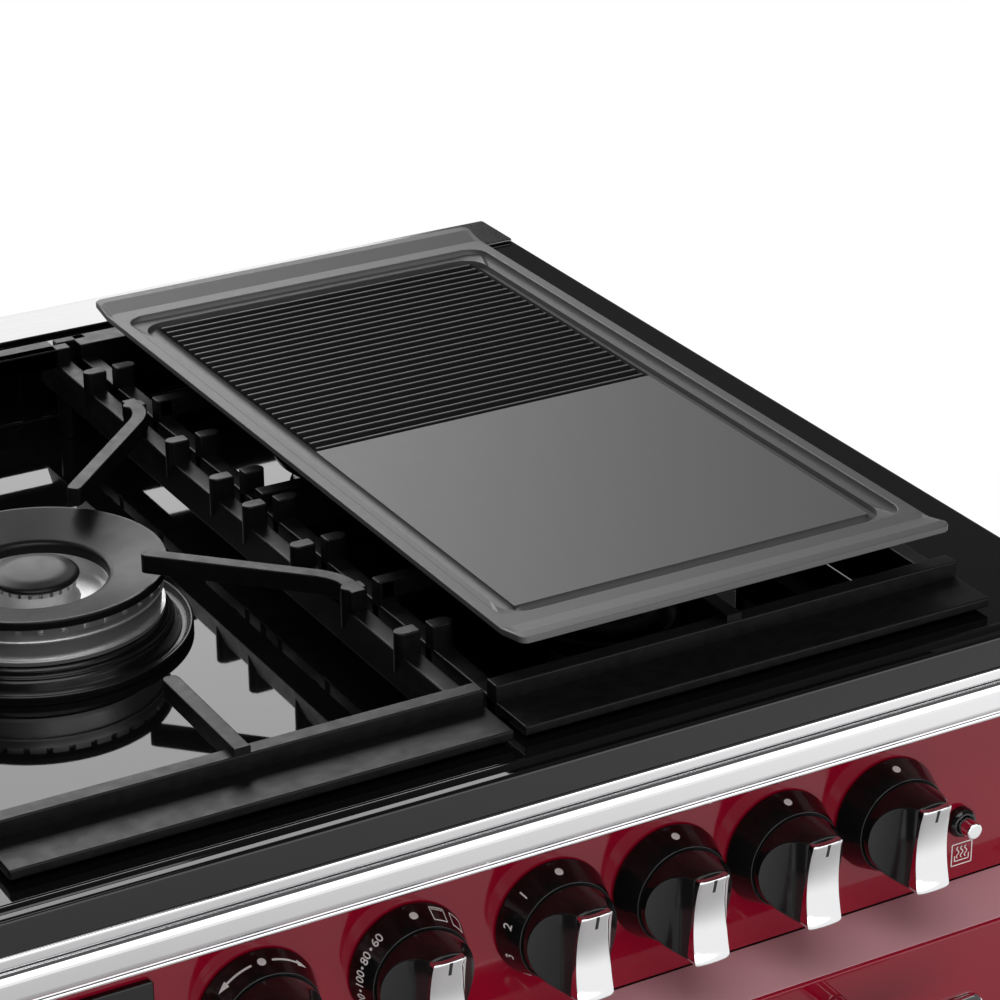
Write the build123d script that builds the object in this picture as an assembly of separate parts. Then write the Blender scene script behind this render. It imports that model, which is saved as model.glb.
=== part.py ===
from build123d import *
import os
from math import cos, radians, sin, sqrt

# A free-standing range cooker with a five burner gas hob, a grill, two ovens and a drawer.
# Millimetres. X runs to the right, Y to the back and Z up. The origin is on the floor, below the
# middle of the whole cooker, so the handles' fronts and the hob's back edge lie equally far from it.

# Overall
WIDTH = 900.0
HOB_DEPTH = 632.0
RIM_HEIGHT = 905.0

# Sheet metal
SHEET = 1.5
FRAME_THICK = 3.0
HOB_SHEET = 4.0
WELL_SHEET = 2.5
LINER_SHEET = 2.0
CARCASS_INSET = 3.0
REAR_SPACE = 26.0
SIDE_BOTTOM_Z = 40.0

# Front: how far each face lies behind (+) or in front (-) of the hob's front edge
DOOR_PROUD = 6.0
PANEL_SETBACK = 27.0
RAIL_PROUD = 3.0

# Doors and drawer
DOOR_THICK = 34.0
DOOR_SKIN = 2.0
DOOR_INNER_THICK = 6.0
DOOR_SIDE_INSET = 6.0
DOOR_MIDDLE_GAP = 5.0
DOOR_LEVEL_GAP = 8.0
DOOR_BACK_GAP = 5.0
DOOR_EDGE_RADIUS = 2.5
DOOR_BOTTOM_Z = 105.0
DRAWER_HEIGHT = 84.0
GRILL_DOOR_HEIGHT = 162.0
OPENING_SIDE_INSET = 42.0
OPENING_LEVEL_INSET = 40.0
GRILL_OPENING_TOP_INSET = 20.0
DRAWER_OPENING_INSET = 6.0
SEAL_WIDTH = 8.0
SEAL_OFFSET = 2.0
SEAL_CLEAR = 0.3

# Hinges
PIN_RADIUS = 4.0
PIN_LENGTH = 8.0
RUNNING_CLEAR = 0.05
SIDE_HINGE_INSET = 10.0
DROP_HINGE_DEPTH = 10.0
DROP_HINGE_RISE = 14.0
HINGE_PLATE = 3.0
HINGE_PLATE_WIDTH = 20.0
HINGE_GAP = 1.0
DROP_PLATE = 2.0
DROP_PLATE_GAP = 1.0

# Handles
HANDLE_LENGTH = 250.0
HANDLE_REACH = 45.0
HANDLE_BAR_HEIGHT = 22.0
HANDLE_BAR_DEPTH = 15.0
HANDLE_BAR_RADIUS = 6.0
HANDLE_POST_RADIUS = 8.0
HANDLE_POST_INSET = 60.0
HANDLE_DROP = 8.0

# Oven cavities
LEDGE_SIZE = 6.0
LEDGE_LENGTH = 400.0
LEDGE_FRONT = 12.0
SHELF_ROD_RADIUS = 3.5
SHELF_END_RADIUS = 2.8
SHELF_WIRE_RADIUS = 1.5
SHELF_WIRE_COUNT = 13
SHELF_CLEAR = 2.0
SHELF_END_INSET = 12.0
SHELF_DEPTH = 390.0
MAIN_SHELF_COUNT = 2
TALL_SHELF_COUNT = 2
SEAT_CLEAR = 0.1
GRILL_PAN_HEIGHT = 32.0
GRILL_PAN_DEPTH = 370.0
GRILL_LEDGE_RISE = 30.0

# Fans and heating elements
FAN_RADIUS = 68.0
FAN_PLATE = 1.5
FAN_HUB_RADIUS = 10.0
FAN_BLADE_DEPTH = 20.0
FAN_BLADE_LENGTH = 26.0
FAN_BLADE_COUNT = 10
FAN_SHAFT_RADIUS = 4.0
FAN_WALL_GAP = 6.0
FAN_HOLE_CLEAR = 2.0
FAN_COVER_SIZE = 226.0
FAN_COVER_DEPTH = 40.0
FAN_COVER_HOLE_RADIUS = 5.0
FAN_COVER_RINGS = 4
FAN_COVER_RING_HOLES = 6
FAN_COVER_RING_STEP = 15.0
MOTOR_RADIUS = 34.0
MOTOR_LENGTH = 52.0
MOTOR_BACK_CLEAR = 32.0
MOTOR_BORE_DEPTH = 20.0
SHAFT_END_CLEAR = 0.5
ELEMENT_RADIUS = 3.5
ELEMENT_LEG_RADIUS = 5.0
ELEMENT_RING_RADIUS = 92.0
ELEMENT_WALL_GAP = 18.0
ELEMENT_LEG_SPACING = 30.0
ELEMENT_HOLE_CLEAR = 0.2
ELEMENT_TAIL = 4.0
GRILL_LOOP_PAIRS = 2
GRILL_LOOP_LENGTH = 330.0
GRILL_LOOP_PITCH = 70.0
GRILL_ROOF_GAP = 14.0

# Drawer
DRAWER_BOX_DEPTH = 420.0
DRAWER_BOX_SHEET = 2.0
DRAWER_BOX_CLEAR = 4.0
RUNNER_WIDTH = 14.0
RUNNER_CLEAR = 0.2

# Base
BASE_Z = 92.0
BASE_SHEET = 4.0
FOOT_BLOCK = 60.0
FOOT_BLOCK_HEIGHT = 32.0
FOOT_INSET = 60.0
FOOT_PAD_RADIUS = 22.0
FOOT_PAD_HEIGHT = 10.0
FOOT_STEM_RADIUS = 6.0
PLINTH_SETBACK = 30.0
PLINTH_CLEAR = 12.0

# Hob top
FRONT_LIP = 16.7
SIDE_LIP_CLEAR = 0.6
BACK_LIP = 12.0
WELL_SIDE_MARGIN = 52.0
WELL_FRONT = 46.0
WELL_BACK = 556.0
WELL_DEPTH = 34.0
WELL_CORNER_RADIUS = 14.0
REAR_TRIM_DEPTH = 41.0
REAR_TRIM_HEIGHT = 2.5

# Trim rail under the hob's front edge
RAIL_HEIGHT = 28.3
RAIL_LIP = 3.0
RAIL_LIP_HEIGHT = 4.0
RAIL_BEAD_HEIGHT = 6.5
RAIL_BEAD_ROUND = 3.9
RAIL_GROOVE = 3.0

# Control panel
PANEL_HEIGHT = 106.0
PANEL_SHEET = 2.0
KNOB_DROP = 99.0
KNOB_PITCH = 64.3
OVEN_KNOB_PITCH = 77.0
OVEN_KNOB_START = -9.9
CLOCK_WIDTH = 130.0
CLOCK_HEIGHT = 62.0
CLOCK_RIGHT = -60.0
CLOCK_DROP = 67.0
CLOCK_PROUD = 3.0
CLOCK_BODY_DEPTH = 24.0
CLOCK_BODY_INSET = 5.0
BUTTON_KNOB_GAP = 46.5
BUTTON_DROP = 117.0
BUTTON_RADIUS = 4.5
BUTTON_PROUD = 14.0
BUTTON_TRAVEL = 3.0
BUTTON_GUIDE = 18.0
BUTTON_END_CLEAR = 0.5
BEZEL_RADIUS = 8.0
BEZEL_PROUD = 6.0
SWITCH_HALF = 8.5
SWITCH_NECK_RADIUS = 5.0

# Knobs
KNOB_GAP = 0.5
SKIRT_RADIUS = 30.5
SKIRT_FRONT_RADIUS = 25.6
SKIRT_HEIGHT = 15.0
KNOB_RADIUS = 24.5
KNOB_REACH = 39.0
GRIP_WIDTH = 17.0
GRIP_LENGTH = 46.0
GRIP_HEIGHT = 7.0
GRIP_DISH_DEPTH = 2.1
GRIP_HOLLOW_RADIUS = 120.0
CHEEK_RADIUS = 26.7
CHEEK_LIFT = 6.0
SPINDLE_RADIUS = 4.0
SPINDLE_DEPTH = 20.0
SPINDLE_HOLE_CLEAR = 1.0
VALVE_WIDTH = 34.0
VALVE_HEIGHT = 36.0
VALVE_DEPTH = 46.0
GAS_RAIL_SIZE = 20.0
GAS_RAIL_WALL = 2.0

# Pan supports
PAN_PLANE = 20.0
BAR_TOP = 16.2
BAR_BOTTOM = -8.0
SUPPORT_FRONT = 24.0
SUPPORT_BACK = 549.0
SUPPORT_MIDDLE = 301.0
CENTRE_HALF = 123.0
SUPPORT_GAP = 6.0
SUPPORT_SIDE_GAP = 6.0
LEDGE_DEPTH = 27.5
LEDGE_TOP = 7.8
LEDGE_THICK = 5.0
FRONT_BAR_WIDTH = 9.0
BACK_BAR_WIDTH = 16.0
LAP_WIDTH = 8.0
LAP_CLEAR = 1.5
SIDE_BAR_WIDTH = 14.0
SIDE_BAR_TOP_WIDTH = 10.0
SIDE_BAR_TOP = 8.0
TOOTH_LENGTH = 12.5
TOOTH_WIDTH = 8.2
TOOTH_OFFSETS = (19.6, 74.5, 130.0, 184.5)
FINGER_WIDTH = 8.2
FINGER_DEPTH = 10.0
FINGER_TIP_RADIUS = 62.0
FINGER_TURN = 16.0
MIDDLE_FINGER_LENGTH = 74.0
PAIR_FINGER_TIP = 36.0
SUPPORT_LEG_RADIUS = 6.0
SUPPORT_LEG_INSET = 24.0

# Burners: the wide wok burner in the middle and two pairs
BURNER_PAIR_OFFSET = 130.0
FRONT_LEFT_CAP = 38.0
BACK_LEFT_CAP = 30.0
FRONT_RIGHT_CAP = 30.0
BACK_RIGHT_CAP = 46.0
BURNER_CUP_DEPTH = 24.0
BURNER_CUP_SHARE = 0.7
BURNER_FLANGE = 9.0
BURNER_FLANGE_HEIGHT = 8.0
BURNER_HEAD_INSET = 2.5
BURNER_HEAD_HEIGHT = 15.0
BURNER_CAP_HEIGHT = 8.0
BURNER_PORT_COUNT = 20
PORT_WIDTH = 2.0
PORT_DEPTH = 3.0
PORT_HEIGHT = 4.0
CUP_CLEAR = 0.3
WOK_DISH_RADIUS = 79.0
WOK_DISH_HEIGHT = 4.0
WOK_PEDESTAL_RADIUS = 66.0
WOK_PEDESTAL_HEIGHT = 10.0
WOK_HEAD_RADIUS = 63.0
WOK_HEAD_TOP_RADIUS = 66.0
WOK_HEAD_HEIGHT = 21.0
WOK_RING_RADIUS = 67.5
WOK_RING_THICK = 4.0
WOK_HOLE_RADIUS = 37.0
WOK_DECK_HEIGHT = 6.0
WOK_INNER_RADIUS = 19.5
WOK_INNER_HEIGHT = 14.0
WOK_INNER_CAP_RADIUS = 21.0
WOK_INNER_CAP_HEIGHT = 5.0
WOK_PORT_COUNT = 36
ELECTRODE_RADIUS = 3.0
ELECTRODE_TIP_RADIUS = 1.0
ELECTRODE_TIP_HEIGHT = 5.0
ELECTRODE_GAP = 6.0
ELECTRODE_ANGLE = 60.0

# Griddle on the right-hand pan support
GRIDDLE_WIDTH = 248.0
GRIDDLE_LENGTH = 491.0
GRIDDLE_SIDE_SHIFT = 3.5
GRIDDLE_FRONT_SHIFT = 9.0
GRIDDLE_RIM_TOP = 34.0
GRIDDLE_SHEET = 4.0
GRIDDLE_FLANGE = 22.0
GRIDDLE_FLANGE_RISE = 6.0
GRIDDLE_BELLY_INSET = 13.0
GRIDDLE_CORNER_RADIUS = 5.0
GRIDDLE_POCKET_INSET = 9.0
GRIDDLE_POCKET_CORNER = 14.0
GRIDDLE_CHANNEL_DEPTH = 8.5
GRIDDLE_CHANNEL_WIDTH = 11.0
GRIDDLE_PLATE_DROP = 3.0
GRIDDLE_FLAT_SHARE = 0.525
RIB_COUNT = 30
RIB_HEIGHT = 3.5
RIB_WIDTH = 5.4
RIB_TOP_WIDTH = 0.9

# Rear connections
GAS_THREAD_RADIUS = 10.48
GAS_THREAD_LENGTH = 15.0
GAS_HEX_RADIUS = 15.0
GAS_HEX_LENGTH = 8.0
GAS_PIPE_INSIDE = 40.0
GAS_INLET_INSET = 67.0
GAS_INLET_Z = 700.0
TERMINAL_WIDTH = 110.0
TERMINAL_HEIGHT = 70.0
TERMINAL_DEPTH = 22.0
TERMINAL_INSET = 117.0
TERMINAL_Z = 640.0
VENT_COUNT = 9
VENT_LENGTH = 160.0
VENT_WIDTH = 6.0
VENT_PITCH = 16.0
VENT_TOP_Z = 840.0

# Worked out from the sizes above
HOB_FRONT_Y = (DOOR_PROUD + HANDLE_REACH - HOB_DEPTH) / 2
HOB_BACK_Y = HOB_FRONT_Y + HOB_DEPTH
HALF_WIDTH = WIDTH / 2
CARCASS_HALF = HALF_WIDTH - CARCASS_INSET
INNER_HALF = CARCASS_HALF - SHEET
WELL_HALF_WIDTH = HALF_WIDTH - WELL_SIDE_MARGIN
SUPPORT_OUTER = WELL_HALF_WIDTH - SUPPORT_SIDE_GAP
GAS_INLET_X = CARCASS_HALF - GAS_INLET_INSET
TERMINAL_X = TERMINAL_INSET - CARCASS_HALF
HOB_UNDER_Z = RIM_HEIGHT - HOB_SHEET
WELL_FLOOR_Z = RIM_HEIGHT - WELL_DEPTH
RAIL_TOP_Z = RIM_HEIGHT - FRONT_LIP
RAIL_BOTTOM_Z = RAIL_TOP_Z - RAIL_HEIGHT
PANEL_TOP_Z = RAIL_BOTTOM_Z
PANEL_BOTTOM_Z = PANEL_TOP_Z - PANEL_HEIGHT
PANEL_Y = HOB_FRONT_Y + PANEL_SETBACK
PANEL_BACK_Y = PANEL_Y + PANEL_SHEET
DOOR_FRONT_Y = HOB_FRONT_Y - DOOR_PROUD
DOOR_BACK_Y = DOOR_FRONT_Y + DOOR_THICK
FRAME_FRONT_Y = DOOR_BACK_Y + DOOR_BACK_GAP
FRAME_BACK_Y = FRAME_FRONT_Y + FRAME_THICK
BACK_PANEL_Y = HOB_BACK_Y - REAR_SPACE
LINER_BACK_Y = BACK_PANEL_Y - MOTOR_BACK_CLEAR - MOTOR_LENGTH - LINER_SHEET
BASE_TOP_Z = BASE_Z + BASE_SHEET
DOOR_OUTER_X = HALF_WIDTH - DOOR_SIDE_INSET
DOOR_INNER_X = DOOR_MIDDLE_GAP / 2
DOOR_TOP_Z = PANEL_BOTTOM_Z - DOOR_LEVEL_GAP
GRILL_DOOR_Z = DOOR_TOP_Z - GRILL_DOOR_HEIGHT
DRAWER_TOP_Z = DOOR_BOTTOM_Z + DRAWER_HEIGHT
MAIN_DOOR_Z = DRAWER_TOP_Z + DOOR_LEVEL_GAP
MAIN_DOOR_TOP_Z = GRILL_DOOR_Z - DOOR_LEVEL_GAP
KNOB_Z = RIM_HEIGHT - KNOB_DROP
SIDE_HINGE_X = DOOR_OUTER_X - SIDE_HINGE_INSET
SIDE_HINGE_Y = (DOOR_FRONT_Y + DOOR_BACK_Y) / 2
DROP_HINGE_Y = DOOR_FRONT_Y + DROP_HINGE_DEPTH
DROP_HINGE_Z = GRILL_DOOR_Z + DROP_HINGE_RISE
PIN_HOLE_RADIUS = PIN_RADIUS + RUNNING_CLEAR
OPENING_OUTER_X = DOOR_OUTER_X - OPENING_SIDE_INSET
OPENING_INNER_X = DOOR_INNER_X + OPENING_SIDE_INSET
LEFT_OPENING_X = (-OPENING_OUTER_X, -OPENING_INNER_X)
RIGHT_OPENING_X = (OPENING_INNER_X, OPENING_OUTER_X)
MAIN_OPENING_Z = (MAIN_DOOR_Z + OPENING_LEVEL_INSET, MAIN_DOOR_TOP_Z - OPENING_LEVEL_INSET)
TALL_OPENING_Z = (DOOR_BOTTOM_Z + OPENING_LEVEL_INSET, DOOR_TOP_Z - OPENING_LEVEL_INSET)
GRILL_OPENING_Z = (GRILL_DOOR_Z + OPENING_LEVEL_INSET, DOOR_TOP_Z - GRILL_OPENING_TOP_INSET)
DRAWER_OPENING_Z = (DOOR_BOTTOM_Z + DRAWER_OPENING_INSET, DRAWER_TOP_Z - DRAWER_OPENING_INSET)
FAN_Y = LINER_BACK_Y - FAN_WALL_GAP
CLOCK_Z = RIM_HEIGHT - CLOCK_DROP - CLOCK_HEIGHT / 2
CLOCK_X = CLOCK_RIGHT - CLOCK_WIDTH / 2
BUTTON_Z = RIM_HEIGHT - BUTTON_DROP
SUPPORT_MIDDLE_Y = HOB_FRONT_Y + SUPPORT_MIDDLE
SIDE_SUPPORT_INNER = CENTRE_HALF + SUPPORT_GAP
PAIR_X = (SIDE_SUPPORT_INNER + SUPPORT_OUTER) / 2
FAN_CENTRES = [
    ((LEFT_OPENING_X[0] + LEFT_OPENING_X[1]) / 2, sum(MAIN_OPENING_Z) / 2),
    ((RIGHT_OPENING_X[0] + RIGHT_OPENING_X[1]) / 2, sum(TALL_OPENING_Z) / 2),
]
# The six knobs from the middle to the right, then the two beyond the clock
KNOB_X = [OVEN_KNOB_START + i * OVEN_KNOB_PITCH for i in (0, 1, 2)]
KNOB_X += [KNOB_X[2] + i * KNOB_PITCH for i in (1, 2, 3)]
KNOB_X += [-x for x in KNOB_X[4:6]]
BUTTON_X = max(KNOB_X) + BUTTON_KNOB_GAP
# Each burner of the two pairs: its X, its Y and its cap's radius
PAIR_BURNERS = [
    (-PAIR_X, SUPPORT_MIDDLE_Y - BURNER_PAIR_OFFSET, FRONT_LEFT_CAP),
    (-PAIR_X, SUPPORT_MIDDLE_Y + BURNER_PAIR_OFFSET, BACK_LEFT_CAP),
    (PAIR_X, SUPPORT_MIDDLE_Y - BURNER_PAIR_OFFSET, FRONT_RIGHT_CAP),
    (PAIR_X, SUPPORT_MIDDLE_Y + BURNER_PAIR_OFFSET, BACK_RIGHT_CAP),
]
WOK_HEAD_Z = WELL_FLOOR_Z + WOK_DISH_HEIGHT + WOK_PEDESTAL_HEIGHT
WOK_RING_Z = WOK_HEAD_Z + WOK_HEAD_HEIGHT
WOK_DECK_Z = WOK_HEAD_Z + WOK_DECK_HEIGHT


def span(a, b):
    """The two values in rising order."""
    return (min(a, b), max(a, b))


def block(x, y, z):
    """A box between three pairs of limits."""
    middle = Pos((x[0] + x[1]) / 2, (y[0] + y[1]) / 2, (z[0] + z[1]) / 2)
    return middle * Box(x[1] - x[0], y[1] - y[0], z[1] - z[0])


def post(x, y, z, radius):
    """An upright cylinder between two heights."""
    return Pos(x, y, (z[0] + z[1]) / 2) * Cylinder(radius, z[1] - z[0])


def rod_x(x, y, z, radius):
    """A cylinder along X."""
    turned = Rot(0, 90, 0) * Cylinder(radius, x[1] - x[0])
    return Pos((x[0] + x[1]) / 2, y, z) * turned


def rod_y(x, y, z, radius):
    """A cylinder along Y."""
    turned = Rot(90, 0, 0) * Cylinder(radius, y[1] - y[0])
    return Pos(x, (y[0] + y[1]) / 2, z) * turned


def beam(start, end, z, width):
    """An upright flat bar in plan from start to end, with round ends."""
    dx = end[0] - start[0]
    dy = end[1] - start[1]
    line = Line((start[0], start[1]), (end[0], end[1]))
    length = sqrt(dx * dx + dy * dy)
    middle = Pos((start[0] + end[0]) / 2, (start[1] + end[1]) / 2, (z[0] + z[1]) / 2)
    straight = middle * Rot(0, 0, line.tangent_angle_at(0)) * Box(length, width, z[1] - z[0])
    return straight + [post(*start, z, width / 2), post(*end, z, width / 2)]


def write(name, solids):
    """One file for a node, holding one solid or a group of separate solids."""
    group = solids if isinstance(solids, list) else [solids]
    export_step(Compound([s for piece in group for s in piece.solids()]), f"parts/{name}.step")


# Carcass


def side_panels():
    depth = (FRAME_BACK_Y, BACK_PANEL_Y)
    height = (SIDE_BOTTOM_Z, HOB_UNDER_Z)
    return [block(span(s * INNER_HALF, s * CARCASS_HALF), depth, height) for s in (-1, 1)]


def back_panel():
    height = (BASE_Z, HOB_UNDER_Z)
    sheet = block((-CARCASS_HALF, CARCASS_HALF), (BACK_PANEL_Y, BACK_PANEL_Y + SHEET), height)
    depth = (BACK_PANEL_Y - SHEET, BACK_PANEL_Y + 2 * SHEET)
    slots = []
    for row in range(VENT_COUNT):
        z = VENT_TOP_Z - row * VENT_PITCH
        for s in (-1, 1):
            x = s * VENT_LENGTH
            slots.append(block((x - VENT_LENGTH / 2, x + VENT_LENGTH / 2), depth, (z - VENT_WIDTH, z)))
    gas_hole = rod_y(GAS_INLET_X, depth, GAS_INLET_Z, GAS_THREAD_RADIUS + RUNNING_CLEAR)
    return sheet - slots - gas_hole


def foot_places():
    x = CARCASS_HALF - FOOT_INSET
    return [(sx * x, y) for sx in (-1, 1) for y in (FRAME_BACK_Y + FOOT_INSET, BACK_PANEL_Y - FOOT_INSET)]


def base_frame():
    tray = block((-INNER_HALF, INNER_HALF), (FRAME_BACK_Y, BACK_PANEL_Y), (BASE_Z, BASE_TOP_Z))
    half = FOOT_BLOCK / 2
    height = (BASE_Z - FOOT_BLOCK_HEIGHT, BASE_Z)
    blocks = [block((x - half, x + half), (y - half, y + half), height) for x, y in foot_places()]
    stems = [post(x, y, height, FOOT_STEM_RADIUS + RUNNING_CLEAR) for x, y in foot_places()]
    return tray + blocks - stems


def levelling_feet():
    feet = []
    for x, y in foot_places():
        pad = post(x, y, (0, FOOT_PAD_HEIGHT), FOOT_PAD_RADIUS)
        pad = fillet(pad.edges().group_by(Axis.Z)[-1], FOOT_PAD_HEIGHT / 4)
        feet.append(pad + post(x, y, (FOOT_PAD_HEIGHT / 2, BASE_Z), FOOT_STEM_RADIUS))
    return feet


def plinth():
    y = FRAME_FRONT_Y + PLINTH_SETBACK
    return block((-INNER_HALF, INNER_HALF), (y, y + SHEET), (PLINTH_CLEAR, BASE_Z))


def front_frame():
    depth = (FRAME_FRONT_Y, FRAME_BACK_Y)
    plate = block((-CARCASS_HALF, CARCASS_HALF), depth, (BASE_Z, PANEL_BOTTOM_Z))
    holes = [
        block(LEFT_OPENING_X, depth, MAIN_OPENING_Z),
        block(LEFT_OPENING_X, depth, GRILL_OPENING_Z),
        block(LEFT_OPENING_X, depth, DRAWER_OPENING_Z),
        block(RIGHT_OPENING_X, depth, TALL_OPENING_Z),
    ]
    return plate - holes


def seal_ring(x, z):
    depth = (DOOR_BACK_Y + SEAL_CLEAR, FRAME_FRONT_Y)
    inner = SEAL_OFFSET
    outer = SEAL_OFFSET + SEAL_WIDTH
    ring = block((x[0] - outer, x[1] + outer), depth, (z[0] - outer, z[1] + outer))
    return ring - block((x[0] - inner, x[1] + inner), depth, (z[0] - inner, z[1] + inner))


def door_seals():
    return [
        seal_ring(LEFT_OPENING_X, MAIN_OPENING_Z),
        seal_ring(LEFT_OPENING_X, GRILL_OPENING_Z),
        seal_ring(RIGHT_OPENING_X, TALL_OPENING_Z),
    ]


# Oven cavities


def shelf_heights(z, count):
    return [z[0] + (z[1] - z[0]) * (i + 1) / (count + 1) for i in range(count)]


def liner(x, z, ledges, fan_centre):
    """An oven cavity open to the front, with shelf ledges pressed into its sides."""
    wall = LINER_SHEET
    depth = (FRAME_BACK_Y, LINER_BACK_Y)
    outside = (FRAME_BACK_Y, LINER_BACK_Y + wall)
    shell = block((x[0] - wall, x[1] + wall), outside, (z[0] - wall, z[1] + wall))
    shell -= block(x, depth, z)
    run = (FRAME_BACK_Y + LEDGE_FRONT, FRAME_BACK_Y + LEDGE_FRONT + LEDGE_LENGTH)
    for top in ledges:
        rise = (top - LEDGE_SIZE, top)
        shell += block((x[0] - wall / 2, x[0] + LEDGE_SIZE), run, rise)
        shell += block((x[1] - LEDGE_SIZE, x[1] + wall / 2), run, rise)
    through = (LINER_BACK_Y, LINER_BACK_Y + wall)
    leg = ELEMENT_LEG_RADIUS + ELEMENT_HOLE_CLEAR
    if fan_centre:
        fx, fz = fan_centre
        shell -= rod_y(fx, through, fz, FAN_SHAFT_RADIUS + FAN_HOLE_CLEAR)
        shell -= [rod_y(fx + s * ELEMENT_LEG_SPACING, through, leg_height(fz), leg) for s in (-1, 1)]
    return shell


def leg_height(fan_z):
    """The height at which a fan element's two legs lie on its ring, below the fan."""
    return fan_z - sqrt(ELEMENT_RING_RADIUS ** 2 - ELEMENT_LEG_SPACING ** 2)


def main_oven_liner():
    ledges = shelf_heights(MAIN_OPENING_Z, MAIN_SHELF_COUNT)
    return liner(LEFT_OPENING_X, MAIN_OPENING_Z, ledges, FAN_CENTRES[0])


def tall_oven_liner():
    ledges = shelf_heights(TALL_OPENING_Z, TALL_SHELF_COUNT)
    return liner(RIGHT_OPENING_X, TALL_OPENING_Z, ledges, FAN_CENTRES[1])


def grill_leg_places():
    """X of the grill element's two ends and its height."""
    middle = sum(LEFT_OPENING_X) / 2
    half = (2 * GRILL_LOOP_PAIRS - 1) * GRILL_LOOP_PITCH / 2
    return (middle - half, middle + half), GRILL_OPENING_Z[1] - GRILL_ROOF_GAP


def grill_liner():
    shell = liner(LEFT_OPENING_X, GRILL_OPENING_Z, [GRILL_OPENING_Z[0] + GRILL_LEDGE_RISE], None)
    ends, z = grill_leg_places()
    through = (LINER_BACK_Y, LINER_BACK_Y + LINER_SHEET)
    return shell - [rod_y(x, through, z, ELEMENT_RADIUS + ELEMENT_HOLE_CLEAR) for x in ends]


def wire_shelf(x, top):
    """A wire shelf whose side rods lie on the ledges at the given height."""
    z = top + SEAT_CLEAR + SHELF_ROD_RADIUS
    left = x[0] + SHELF_CLEAR + SHELF_ROD_RADIUS
    right = x[1] - SHELF_CLEAR - SHELF_ROD_RADIUS
    front = FRAME_BACK_Y + LEDGE_FRONT
    run = (front, front + SHELF_DEPTH)
    sides = [rod_y(px, run, z, SHELF_ROD_RADIUS) for px in (left, right)]
    inside = (run[0] + SHELF_END_INSET, run[1] - SHELF_END_INSET)
    ends = [rod_x((left, right), py, z, SHELF_END_RADIUS) for py in inside]
    step = (right - left) / (SHELF_WIRE_COUNT + 1)
    wires = [rod_y(left + step * (i + 1), inside, z, SHELF_WIRE_RADIUS) for i in range(SHELF_WIRE_COUNT)]
    return sides[0] + sides[1:] + ends + wires


def oven_shelves():
    main = [wire_shelf(LEFT_OPENING_X, z) for z in shelf_heights(MAIN_OPENING_Z, MAIN_SHELF_COUNT)]
    tall = [wire_shelf(RIGHT_OPENING_X, z) for z in shelf_heights(TALL_OPENING_Z, TALL_SHELF_COUNT)]
    return main + tall


def grill_pan():
    """A tray whose turned-out rims lie on the grill's ledges."""
    seat = GRILL_OPENING_Z[0] + GRILL_LEDGE_RISE + SEAT_CLEAR
    x = (LEFT_OPENING_X[0] + SHELF_CLEAR, LEFT_OPENING_X[1] - SHELF_CLEAR)
    inset = LEDGE_SIZE + SHELF_CLEAR
    inner = (LEFT_OPENING_X[0] + inset, LEFT_OPENING_X[1] - inset)
    front = FRAME_BACK_Y + LEDGE_FRONT
    y = (front, front + GRILL_PAN_DEPTH)
    bottom = seat + SHEET - GRILL_PAN_HEIGHT + LEDGE_SIZE
    tray = block(inner, y, (bottom, seat + SHEET)) + block(x, y, (seat, seat + SHEET))
    inside_x = (inner[0] + SHEET, inner[1] - SHEET)
    inside_y = (y[0] + SHEET, y[1] - SHEET)
    return tray - block(inside_x, inside_y, (bottom + SHEET, seat + 2 * SHEET))


def fan_element(centre):
    """An open ring round a fan, whose ends stand in two ferrules through the oven's back wall."""
    fx, fz = centre
    y = LINER_BACK_Y - ELEMENT_WALL_GAP
    low = leg_height(fz)
    ends = [(fx + s * ELEMENT_LEG_SPACING, y, low) for s in (-1, 1)]
    route = Wire([ThreePointArc(ends[0], (fx, y, fz + ELEMENT_RING_RADIUS), ends[1])])
    ring = sweep(Plane(origin=route @ 0, z_dir=route % 0) * Circle(ELEMENT_RADIUS), path=route)
    run = (y - ELEMENT_LEG_RADIUS, LINER_BACK_Y + LINER_SHEET + ELEMENT_TAIL)
    for x, _, z in ends:
        ring += rod_y(x, run, z, ELEMENT_LEG_RADIUS)
    return ring


def grill_element():
    """A rod that runs to and fro under the grill's roof, with both ends through the back wall."""
    ends, z = grill_leg_places()
    tail = LINER_BACK_Y + LINER_SHEET + ELEMENT_TAIL
    front = LINER_BACK_Y - GRILL_LOOP_LENGTH
    back = LINER_BACK_Y - GRILL_LOOP_PITCH
    last = 2 * GRILL_LOOP_PAIRS - 1
    path = []
    for i in range(last + 1):
        x = ends[0] + i * GRILL_LOOP_PITCH
        far = tail if i in (0, last) else back
        forward = i % 2 == 0
        first, stop = (far, front) if forward else (front, far)
        path.append(Line((x, first, z), (x, stop, z)))
        if i < last:
            half = GRILL_LOOP_PITCH / 2
            crown = stop - half if forward else stop + half
            path.append(ThreePointArc((x, stop, z), (x + half, crown, z), (x + 2 * half, stop, z)))
    route = Wire(path)
    section = Plane(origin=route @ 0, z_dir=route % 0) * Circle(ELEMENT_RADIUS)
    return sweep(section, path=route)


def heating_elements():
    return [fan_element(centre) for centre in FAN_CENTRES] + [grill_element()]


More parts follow.
